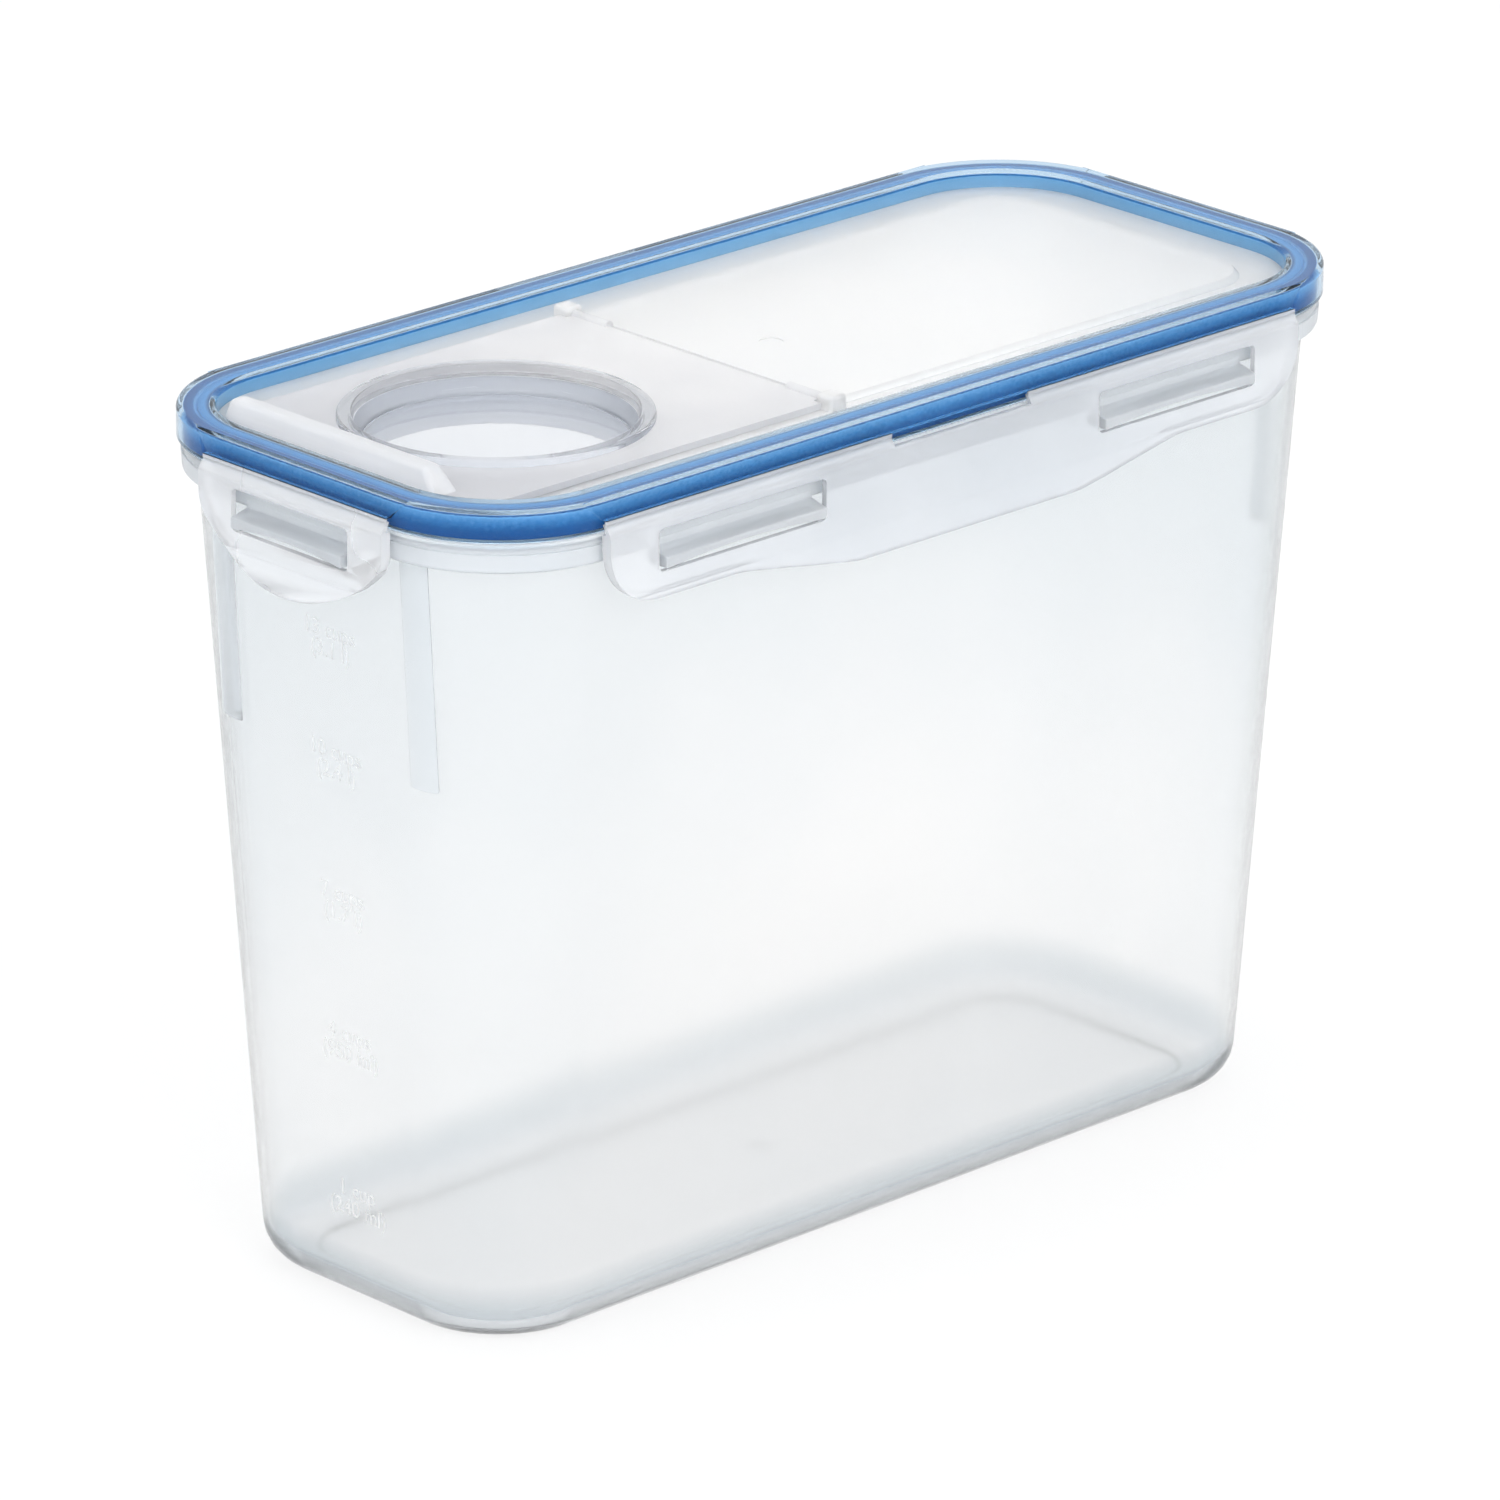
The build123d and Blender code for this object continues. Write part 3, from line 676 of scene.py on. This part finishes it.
def leanWall(body, half, wallDistance, turn):  # cut the lid's edge along a leaning plane and fill below it
    low = flapLine["z"] + flapLine["gap"] / 2
    foot, head = -wallDistance - lid["boss"], -wallDistance + lid["bossSetback"]
    wasteFace = [(foot, low), (head, lidTop), (head, lidTop + mm), (foot - mm, lidTop + mm), (foot - mm, low)]
    waste = turnAbout(makePrism("waste", wasteFace, -half - 9 * mm, half + 9 * mm), 90)
    wedge = turnAbout(makePrism("wedge", [(foot, low), (head, lidTop), (head, low)], -half - 9 * mm,
                                half + 9 * mm), 90)
    combine(waste, "INTERSECT", makeBossSpan(half, lidTop - low + mm, wallDistance))
    combine(wedge, "INTERSECT", makeBossSpan(half, lidTop - low, wallDistance))
    combine(body, "DIFFERENCE", turnAbout(waste, turn))
    combine(body, "UNION", turnAbout(wedge, turn))


def makePlateau(name, inset, low, high):
    rear = hinge["x"] + hinge["rearGap"] + inset
    front = lidLength / 2 - lid["channel"] - lid["plateauMargin"] - inset
    half = capHalf - inset
    piece = makeBlock(name, (rear, -half, low), (front, half, high))
    roundUprights(piece, lid["plateauRadius"] - inset, 10, lambda m: m.x > 0)
    activate(piece)
    bpy.ops.object.mode_set(mode="EDIT")
    pick(piece, "EDGE", lambda e: middle(e).z > high - 0.01 * mm and abs(along(e).z) < 0.1
         and middle(e).x > rear + 0.5 * mm)  # the side at the hinge stays upright
    bpy.ops.mesh.bevel(offset=lid["plateauRamp"], segments=1, affect="EDGES")
    bpy.ops.object.mode_set(mode="OBJECT")
    return piece


def makeEar(hand):
    half = hinge["pin"] + hinge["earWall"]
    y0 = capHalf + 0.3 * mm - hinge["earWidth"] / 2
    ys = sorted((hand * y0, hand * (y0 + hinge["earWidth"])))
    top = hinge["z"] + hinge["pin"] + hinge["earRoof"]
    piece = makeBlock("ear", (hinge["x"] - half, ys[0], panelLow), (hinge["x"] + half, ys[1], top))
    modify(piece, "BEVEL", width=0.9 * mm, segments=4, limit_method="ANGLE")
    return piece


def makeLid():
    body = makeChannel()
    slabOut = -lid["channel"] + lid["channelWall"] / 2
    slab = sweep("slab", [(slabOut, panelLow), (slabOut, panelTop)], addLidRing, closed=False)
    centre = (spout["x"], 0, panelTop - spout["collarDepth"] / 2)
    collar = makeRod("collar", centre, spout["radius"] + spout["collarWall"], spout["collarDepth"], "Z",
                     spout["steps"])
    combine(body, "UNION", slab, makePlateau("plateau", 0, panelLow, plateauTop), collar, makeEar(-1), makeEar(1))
    for turn in (0, 180):
        leanWall(body, flapLine["longHalf"], lidWidth / 2, turn)
    for turn in (90, -90):
        leanWall(body, flapLine["shortHalf"], lidLength / 2, turn)
    hollow = makePlateau("hollow", lid["plateauWall"], panelLow - mm, plateauTop - lid["panel"])
    hole = makeRod("hole", centre, spout["radius"], 4 * spout["collarDepth"], "Z", spout["steps"])
    bore = makeRod("bore", (hinge["x"], 0, hinge["z"]), hinge["pin"] + 0.05 * mm, 2 * capHalf + 0.6 * mm, "Y")
    gateCentre = (0, gateMark["panelY"], plateauTop)
    gate = makeRod("gate", gateCentre, gateMark["radius"], 2 * gateMark["depth"], "Z")
    combine(body, "DIFFERENCE", hollow, hole, bore, gate)
    modify(body, "BEVEL", width=0.22 * mm, segments=2, limit_method="ANGLE", angle_limit=math.radians(40),
           use_clamp_overlap=True)
    shade(body, 40)
    return body


# Over the seal the lid is polished and clear; its pale blue tint is a painted reflection of the seal's blue,
# which its edges pick up.
channelPaintedBluePlastic = makePolypropylene("clearPolypropyleneChannelPaintedBlue", {
    "colour": ("#c9e0f2", "#c0daef"), "index": 1.2, "clear": 0.99, "roughness": (0.05, 0.09),
    "flow": 40 * mm, "grain": 3 * mm, "grainDepth": 0.004 * mm, "gate": (0, gateMark["panelY"], lidTop),
    "reach": (40 * mm, 160 * mm),
})
# The panel is frosted by a fine spark-eroded mould, so nothing below it can be made out.
panelPlastic = makePolypropylene("frostedPolypropylenePanel", {
    "colour": ("#ffffff", "#f2f5f8"), "index": 1.24, "clear": 0.68, "roughness": (0.38, 0.5),
    "flow": 40 * mm, "grain": 1.2 * mm, "grainDepth": 0.01 * mm, "gate": (0, gateMark["panelY"], lidTop),
    "reach": (40 * mm, 160 * mm),
})
lidPiece = makeLid()
dress(lidPiece, channelPaintedBluePlastic, "lid", "lid_frame")
paintFaces(lidPiece, panelPlastic, lambda c, corners: beyondOutline(c, lidLength, lidWidth, lid["cornerRadius"])
           < -lid["channel"] - 0.05 * mm)
print("lid", len(lidPiece.data.polygons))

# Seal.

seal = {
    "web": 1.4 * mm,
    "lipGap": 0.2 * mm,
    "groove": 0.5 * mm,          # between the two ridges along its back
    "grooveFrom": 2.5 * mm,      # in from its outer side
    "grooveTo": 3.1 * mm,
    "gap": 0.1 * mm,
}
sealPaintedLightSilicone = makeSilicone("blueSiliconePaintedLight", {
    "speck": 0.9 * mm, "ragged": 0.16, "skin": 0.02 * mm,
    # The bands paint the seal's own blue, paler air-film patches, and painted highlight lines and dark lines from
    # the lid's edges.
    "bands": (
        (0.00, "#14609a"), (0.12, "#2877b0"), (0.20, "#62a8d6"), (0.27, "#98cdee"), (0.30, "#bfe2f6"),
        (0.32, "#115f9a"), (0.45, "#1f76ae"), (0.48, "#aad9f4"), (0.51, "#50a3d6"), (0.62, "#78bfe8"),
        (0.67, "#176699"), (0.70, "#4698ca"), (0.73, "#bfe2f2"), (0.86, "#d6ebf6"), (0.89, "#8fbbd8"),
        (1.00, "#a8cde4"),
    ),
})


def makeSeal():  # a soft U in the channel that straddles the tub's lip, with two ridges along its back
    outer = -(lidLength / 2 - sealHigh.x)
    inner = -lid["channel"] + lid["channelWall"] + seal["gap"]
    lipOut = -tub["lipInset"] + seal["lipGap"]
    lipIn = -tub["lipInset"] - tub["wall"] - seal["lipGap"]
    top = sealHigh.z
    profile = [
        (outer, sealLow.z, 0.3 * mm),
        (outer, top, 0.6 * mm),
        (outer - seal["grooveFrom"], top, 0.2 * mm),
        (outer - seal["grooveFrom"], top - seal["groove"], 0.15 * mm),
        (outer - seal["grooveTo"], top - seal["groove"], 0.15 * mm),
        (outer - seal["grooveTo"], top, 0.2 * mm),
        (inner, top, 0.6 * mm),
        (inner, sealLow.z, 0.3 * mm),
        (lipIn, sealLow.z, 0.3 * mm),
        (lipIn, top - seal["web"], 0.3 * mm),
        (lipOut, top - seal["web"], 0.3 * mm),
        (lipOut, sealLow.z, 0.3 * mm),
    ]
    piece = sweep("seal", roundCorners(profile, closed=True, steps=3), addLidRing, closed=True)
    shade(piece, 50)
    return piece


# U runs from the seal's outer foot at 0, over its back from 0.3 to 0.7, to its inner foot at 1.
def mapAcrossSeal(piece):
    outer = lidLength / 2 - sealHigh.x
    width = lid["channel"] - lid["channelWall"] - seal["gap"] - outer
    height = sealHigh.z - sealLow.z
    layer = piece.data.uv_layers.new(name="acrossSeal")
    for face in piece.data.polygons:
        for corner in face.loop_indices:
            point = piece.data.vertices[piece.data.loops[corner].vertex_index].co
            inset = -beyondOutline(point, lidLength, lidWidth, lid["cornerRadius"])
            across = (inset - outer) / width
            up = (point.z - sealLow.z) / height
            if face.normal.z > 0.6:
                u = 0.3 + 0.4 * across
            elif across < 0.5:
                u = 0.3 * up
            else:
                u = 1 - 0.3 * up
            layer.data[corner].uv = (u, up)


sealPiece = makeSeal()
mapAcrossSeal(sealPiece)
dress(sealPiece, sealPaintedLightSilicone, "lid", "lid_gasket")
print("seal", len(sealPiece.data.polygons))

# Flip cap.

cap = {
    "low": 187.3 * mm,
    "plate": 1.4 * mm,
    "frontGap": 1.2 * mm,
    "cornerRadius": 13.0 * mm,
    "ringOut": 33.3 * mm,
    "ringIn": 30.2 * mm,
    "ringRise": 1.4 * mm,
    "dishDepth": 5.5 * mm,
    "dishFloor": 1.4 * mm,
    "plugTop": 30.4 * mm,
    "plugLow": 29.2 * mm,
    "plugWall": 1.3 * mm,
    "earGap": 0.3 * mm,
    "barWidth": 7.4 * mm,
    "barGap": 1.8 * mm,
    "barLean": 3.0 * mm,
    "barFarY": 36.5 * mm,
    "barNearY": -31.0 * mm,
    "barSlope": 7.0 * mm,
    "barEdge": 1.3 * mm,
}
capPlateTop = cap["low"] + cap["plate"]
capRingTop = capPlateTop + cap["ringRise"]
dishTop = capRingTop - cap["dishDepth"]


def addCapCircle(radius, z):
    addCircle((spout["x"], 0), radius, z, spout["steps"])


def makeCapRing():  # the raised ring, the dish inside it and the tapered plug below, turned about the spout
    wall = cap["plugWall"]
    taper = (cap["plugTop"] - cap["plugLow"]) / (cap["low"] - capLow.z)
    underDish = cap["plugLow"] + taper * (dishTop - cap["dishFloor"] - capLow.z) - wall
    profile = [
        (cap["ringIn"] / 2, dishTop, 0),
        (underDish + 0.2 * mm, dishTop, 1.2 * mm),
        (cap["ringIn"], capRingTop, 0.5 * mm),
        (cap["ringOut"], capRingTop, 0.7 * mm),
        (cap["ringOut"], cap["low"], 0.1 * mm),
        (cap["plugTop"], cap["low"], 0.1 * mm),
        (cap["plugLow"], capLow.z, 0.4 * mm),
        (cap["plugLow"] - wall, capLow.z, 0.4 * mm),
        (underDish, dishTop - cap["dishFloor"], 0.8 * mm),
        (cap["ringIn"] / 2, dishTop - cap["dishFloor"], 0),
    ]
    return sweep("cap", roundCorners(profile, closed=False), addCapCircle, closed=False)


def makeCapPlate():
    front = -lidLength / 2 + lid["channel"] + cap["frontGap"]
    rear = hinge["x"] - 0.3 * mm
    piece = makeBlock("plate", (front, -capHalf, cap["low"]), (rear, capHalf, capPlateTop))
    roundUprights(piece, cap["cornerRadius"], 12, lambda m: m.x < (front + rear) / 2)
    cuts = []
    for hand in (-1, 1):
        ys = sorted((hand * (capHalf - hinge["earWidth"] / 2), hand * (capHalf + mm)))
        earFront = hinge["x"] - hinge["pin"] - hinge["earWall"] - cap["earGap"]
        cuts.append(makeBlock("cut", (earFront, ys[0], cap["low"] - mm), (rear + mm, ys[1], capPlateTop + mm)))
    cuts.append(makeRod("cut", (spout["x"], 0, cap["low"]), (cap["ringIn"] + cap["ringOut"]) / 2, 8 * mm, "Z",
                        spout["steps"]))
    return combine(piece, "DIFFERENCE", *cuts)


# The raised lip for the thumb. Its front leans back and its near end slopes down to the plate.
def makeThumbBar():
    front = -lidLength / 2 + lid["channel"] + cap["barGap"]
    back = front + cap["barWidth"]
    near, far = cap["barNearY"], cap["barFarY"]
    piece = makeBlock("bar", (front, near, cap["low"] + 0.2 * mm), (back, far, capHigh.z))
    for v in piece.data.vertices:
        if v.co.z > capPlateTop:
            if v.co.x < (front + back) / 2:
                v.co.x += cap["barLean"]
            if v.co.y < 0:
                v.co.y += cap["barSlope"]
    roundUprights(piece, 2.4 * mm, 6, lambda m: m.y > 0)
    modify(piece, "BEVEL", width=cap["barEdge"], segments=5, limit_method="ANGLE", angle_limit=math.radians(30))
    return piece


def makeCap():
    body = makeCapRing()
    pins = []
    for hand in (-1, 1):
        y = hand * (capHalf - hinge["pinLength"] / 2)
        pins.append(makeRod("pin", (hinge["x"], y, hinge["z"]), hinge["pin"], hinge["pinLength"], "Y"))
    combine(body, "UNION", makeCapPlate(), makeThumbBar(), *pins)
    modify(body, "BEVEL", width=0.2 * mm, segments=2, limit_method="ANGLE", angle_limit=math.radians(40),
           use_clamp_overlap=True)
    shade(body, 40)
    return body


# The cap's plate has a spark-eroded grain of about 0.9 mm, drawn coarse enough to show.
capPlastic = makePolypropylene("texturedPolypropyleneCap", {
    "colour": ("#fafafb", "#e2e3e7"), "index": 1.24, "clear": 0.58, "roughness": (0.33, 0.43),
    "flow": 25 * mm, "grain": 0.9 * mm, "grainDepth": 0.03 * mm, "gate": (hinge["x"], 0, lidTop),
    "reach": (10 * mm, 90 * mm),
})
# The dish is polished, so what lies below it shows through.
dishPlastic = makePolypropylene("polishedPolypropyleneDish", {
    "colour": ("#f6f7fa", "#eceff4"), "index": 1.2, "clear": 0.9, "roughness": (0.04, 0.08),
    "flow": 25 * mm, "grain": 2 * mm, "grainDepth": 0.01 * mm, "gate": (spout["x"], 0, lidTop),
    "reach": (10 * mm, 60 * mm),
})
# The bar is thick, so it is milkier, and its polish runs along it.
barPlastic = makePolypropylene("satinPolypropyleneBar", {
    "colour": ("#f7f8f9", "#e8eaee"), "index": 1.34, "clear": 0.45, "roughness": (0.24, 0.36),
    "flow": 2 * mm, "grain": 0.8 * mm, "grainDepth": 0.04 * mm, "stretch": (1, 0.08, 1),
    "reach": (100 * mm, 300 * mm),
})
# The plug's skirt and the collar round it lie one inside the other; their darker lavender grey is painted shade,
# for the shade down in the spout below the dish.
plugShadedPlastic = makePolypropylene("shadedPolypropylenePlug", {
    "colour": ("#e3e7ee", "#d8dee8"), "index": 1.3, "clear": 0.4, "roughness": (0.2, 0.3),
    "flow": 25 * mm, "grain": 2 * mm, "grainDepth": 0.02 * mm, "reach": (100 * mm, 300 * mm),
})
capPiece = makeCap()
dress(capPiece, capPlastic, "cap", "flip_cap")
paintFaces(capPiece, dishPlastic, lambda c, corners: isWithin(corners, spout["x"], cap["ringOut"] + 0.1 * mm))
paintFaces(capPiece, barPlastic, lambda c, corners: c.z > capPlateTop + 0.05 * mm
           and c.x < spout["x"] - cap["ringOut"] - 0.7 * mm)
paintFaces(capPiece, plugShadedPlastic, lambda c, corners: c.z < dishTop - cap["dishFloor"] - 0.5 * mm)
print("cap", len(capPiece.data.polygons))

# Flaps.

flap = {
    "plate": 1.3 * mm,
    "standoff": 2.7 * mm,
    "bevelHeight": 2.2 * mm,
    "nose": 0.8 * mm,
    "return": 1.2 * mm,
    "flare": 1.9 * mm,
    "flareHeight": 5.6 * mm,
    "longDrop": 23.6 * mm,
    "middleDrop": 28.5 * mm,
    "middleHalf": 33.0 * mm,
    "shoulderHalf": 64.0 * mm,
    "corner": 13.0 * mm,
    "bend": 39.0 * mm,
    "shortDrop": 28.0 * mm,
    "bowlRadius": 37.0 * mm,
    "bowlCorner": 8.0 * mm,
    "slotTop": 182.0 * mm,
    "slotClear": 0.9 * mm,
    "slotCorner": 1.2 * mm,
    "edge": 0.3 * mm,
}
flapTop = flapLine["z"] - flapLine["gap"] / 2


def longOutline(inset):
    half, low = flapLine["longHalf"] - inset, lidTop - flap["longDrop"] + inset
    bottom = lidTop - flap["middleDrop"] + inset
    right = [(half, flapTop + mm, 0), (half, low, flap["corner"] - inset),
             (flap["shoulderHalf"], low, flap["bend"]), (flap["middleHalf"], bottom, flap["bend"])]
    left = [(-x, z, r) for x, z, r in reversed(right)]
    return roundCorners(right + left, closed=True, steps=10)


def shortOutline(inset):  # a bowl: an arc of a circle below, rounded into the upright ends
    half, radius = flapLine["shortHalf"] - inset, flap["bowlRadius"] - inset
    centreZ = lidTop - flap["shortDrop"] + flap["bowlRadius"]
    corner = flap["bowlCorner"] - inset
    arcX = half - corner
    reach = math.asin(arcX / (radius - corner))
    cornerZ = centreZ - (radius - corner) * math.cos(reach)
    right = [(half, flapTop + mm)]
    for step in range(9):
        turn = (math.pi / 2 - reach) * step / 8
        right.append((arcX + corner * math.cos(turn), cornerZ - corner * math.sin(turn)))
    for step in range(1, 13):
        turn = reach * (1 - step / 12)
        right.append((radius * math.sin(turn), centreZ - radius * math.cos(turn)))
    return right + [(-x, z) for x, z in reversed(right[:-1])]


# A flap on the front side, then turned to its own: a plate that flares at the bottom, with a turned-in
# edge and its slots.
def makeFlap(name, outline, half, bottom, wallDistance, slots, turn):
    out = -wallDistance - flap["standoff"]
    inside = out + flap["plate"]
    flareTop = bottom + flap["flareHeight"]
    nose = -wallDistance - lid["boss"] + 0.2 * mm
    section = roundCorners([
        (nose, flapTop, 0), (out, flapTop - flap["bevelHeight"], 1.5 * mm), (out, flareTop, 4 * mm),
        (out - flap["flare"], bottom, 0), (inside - flap["flare"], bottom, 0), (inside, flareTop, 4 * mm),
        (inside, flapTop - flap["bevelHeight"], 0.6 * mm), (nose + flap["nose"], flapTop, 0),
    ], closed=True, steps=5)
    plate = makePrism(name, section, -half - mm, half + mm)
    turnAbout(plate, 90)  # the section's across lies along Y
    trimFront, trimBack = -wallDistance - 8 * mm, -wallDistance + 2 * mm
    rim = makePrism("rim", outline(0), inside - 0.3 * mm, inside + flap["return"])
    inner = makePrism("inner", outline(flap["plate"]), inside - mm, inside + 2 * flap["return"])
    combine(rim, "DIFFERENCE", inner)
    band = makeBlock("band", (-half - mm, inside - mm, flareTop), (half + mm, inside + 3 * mm,
                     flapTop - flap["bevelHeight"]))
    combine(rim, "INTERSECT", band)
    combine(plate, "INTERSECT", makePrism("trim", outline(0), trimFront, trimBack))
    combine(plate, "UNION", rim)
    slotLow = lug["top"] - lug["thickness"] - flap["slotClear"]
    for start, stop in slots:
        corners = [(start - flap["slotClear"], slotLow), (stop + flap["slotClear"], slotLow),
                   (stop + flap["slotClear"], flap["slotTop"]), (start - flap["slotClear"], flap["slotTop"])]
        hole = roundCorners([(x, z, flap["slotCorner"]) for x, z in corners], closed=True, steps=4)
        combine(plate, "DIFFERENCE", makePrism("slot", hole, trimFront, trimBack))
    if len(slots) == 2:
        notch = flapLine["notchHalf"]
        combine(plate, "DIFFERENCE", makeBlock("notch", (-notch, trimFront, flapTop - 1.8 * mm),
                                               (notch, trimBack, flapTop + mm)))
    softenEdges(plate, flap["edge"], segments=3, angle=40)
    return turnAbout(plate, turn)


def makeFlaps():
    longSlots = [(-lug["longTo"], -lug["longFrom"]), (lug["longFrom"], lug["longTo"])]
    shortSlots = [(-lug["shortHalf"], lug["shortHalf"])]
    longBottom, shortBottom = lidTop - flap["middleDrop"], lidTop - flap["shortDrop"]
    for node, turn in (("front_flap", 0), ("rear_flap", 180)):
        piece = makeFlap(node + "_plate", longOutline, flapLine["longHalf"], longBottom, lidWidth / 2,
                         longSlots, turn)
        dress(piece, flapPaintedLightPlastic, node, node)
        print(piece.name, len(piece.data.polygons))
    for node, turn in (("spout_end_flap", -90), ("far_end_flap", 90)):
        piece = makeFlap(node + "_plate", shortOutline, flapLine["shortHalf"], shortBottom, lidLength / 2,
                         shortSlots, turn)
        dress(piece, flapPaintedLightPlastic, node, node)
        print(piece.name, len(piece.data.polygons))


# The flaps are thin but not polished, so they are hazy; they are painted lighter towards the ends of the long
# sides and on the end flaps, as painted light on the sides the lamps leave darker.
flapPaintedLightPlastic = makePolypropylene("clearPolypropyleneFlaps", {
    "colour": ("#e6e9ed", "#f8f9fb"), "index": 1.22, "clear": 0.66, "roughness": (0.2, 0.28),
    "flow": 30 * mm, "grain": 1.5 * mm, "grainDepth": 0.01 * mm, "gate": (0, 0, lidTop),
    "reach": (60 * mm, 140 * mm),
})
makeFlaps()

for node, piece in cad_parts.items():  # the living hinges are plain webs and keep their CAD shape
    if "hinge" in node:
        piece.data.materials.clear()
        piece.data.materials.append(flapPaintedLightPlastic)

# Floor, world, lamps and camera.

studio = {
    "floor": "#f4f5f6",
    "shadowShare": 0.2,          # how much of the floor's own shading shows
    "world": 0.88,
}


def seenDirectly(tree):  # 1 for camera, glossy and transmission rays
    path = addNode(tree, "ShaderNodeLightPath")
    first = addNode(tree, "ShaderNodeMath", None, {0: (path, "Is Camera Ray"), 1: (path, "Is Glossy Ray")},
                    operation="MAXIMUM")
    return addNode(tree, "ShaderNodeMath", None, {0: (first, "Value"), 1: (path, "Is Transmission Ray")},
                   operation="MAXIMUM")


# Matt board, which looks white but for the shadow that the container leaves on it.
def makeFloor():
    deselectAll()
    bpy.ops.mesh.primitive_plane_add(size=14, location=(0, 0, -0.3 * mm))
    floor = bpy.context.object
    floor.name = "floor"
    material, tree = newMaterial("paleFloor")
    seen = seenDirectly(tree)
    share = addNode(tree, "ShaderNodeMath", {1: 1 - studio["shadowShare"]}, {0: (seen, "Value")},
                    operation="MULTIPLY")
    diffuse = addNode(tree, "ShaderNodeBsdfDiffuse", {"Color": toLinear(studio["floor"])})
    white = addNode(tree, "ShaderNodeEmission", {"Color": (1, 1, 1, 1), "Strength": 1.0})
    mix = addNode(tree, "ShaderNodeMixShader", None, {0: (share, "Value")})
    tree.links.new(diffuse.outputs[0], mix.inputs[1])
    tree.links.new(white.outputs[0], mix.inputs[2])
    addNode(tree, "ShaderNodeOutputMaterial", None, {"Surface": (mix, "Shader")})
    floor.data.materials.append(material)


def makeWorld():
    world = bpy.data.worlds.new("studio")
    bpy.context.scene.world = world
    world.use_nodes = True
    tree = world.node_tree
    tree.nodes.clear()
    seen = seenDirectly(tree)
    soft = addNode(tree, "ShaderNodeBackground", {"Color": (1, 1, 1, 1), "Strength": studio["world"]})
    white = addNode(tree, "ShaderNodeBackground", {"Color": (1, 1, 1, 1), "Strength": 1.0})
    mix = addNode(tree, "ShaderNodeMixShader", None, {0: (seen, "Value")})
    tree.links.new(soft.outputs[0], mix.inputs[1])
    tree.links.new(white.outputs[0], mix.inputs[2])
    addNode(tree, "ShaderNodeOutputWorld", None, {"Surface": (mix, "Shader")})


def addLamp(name, place, aim, size, power):
    deselectAll()
    bpy.ops.object.light_add(type="AREA", location=place)
    lamp = bpy.context.object
    lamp.name = name
    lamp.data.shape = "RECTANGLE"
    lamp.data.size, lamp.data.size_y = size
    lamp.data.energy = power
    lamp.rotation_mode = "QUATERNION"
    lamp.rotation_quaternion = (Vector(aim) - Vector(place)).to_track_quat("-Z", "Y")


def makeCamera():
    shot = {
        "azimuth": -43.82,
        "elevation": 20.568,
        "roll": 0.222,
        "distance": 2310.3 * mm,
        "targetHeight": 95.45 * mm,
        "lens": 257.59,
        "shift": (-9.83 / 1500, -1.94 / 1500),
    }
    a, e = math.radians(shot["azimuth"]), math.radians(shot["elevation"])
    back = Vector((math.sin(a) * math.cos(e), -math.cos(a) * math.cos(e), math.sin(e)))
    deselectAll()
    bpy.ops.object.camera_add()
    camera = bpy.context.object
    camera.data.sensor_width = 36
    camera.data.lens = shot["lens"]
    camera.data.shift_x, camera.data.shift_y = shot["shift"]
    camera.data.clip_end = 50
    camera.location = back * shot["distance"] + Vector((0, 0, shot["targetHeight"]))
    roll = Matrix.Rotation(math.radians(shot["roll"]), 3, "Z").to_quaternion()
    camera.rotation_mode = "QUATERNION"
    camera.rotation_quaternion = (-back).to_track_quat("-Z", "Y") @ roll
    bpy.context.scene.camera = camera


makeFloor()
makeWorld()
addLamp("keyLamp", (-0.5, -2.0, 1.4), (0, 0, 0.1), (1.4, 1.0), 28)
addLamp("sideLamp", (-2.0, 0.3, 1.2), (0, 0, 0.1), (1.2, 1.2), 12)
addLamp("topLamp", (0.2, 0.4, 2.2), (0, 0, 0.1), (1.6, 1.0), 10)
makeCamera()
bpy.context.scene.view_settings.view_transform = "Standard"
bpy.context.view_layer.update()
print("stage ready")
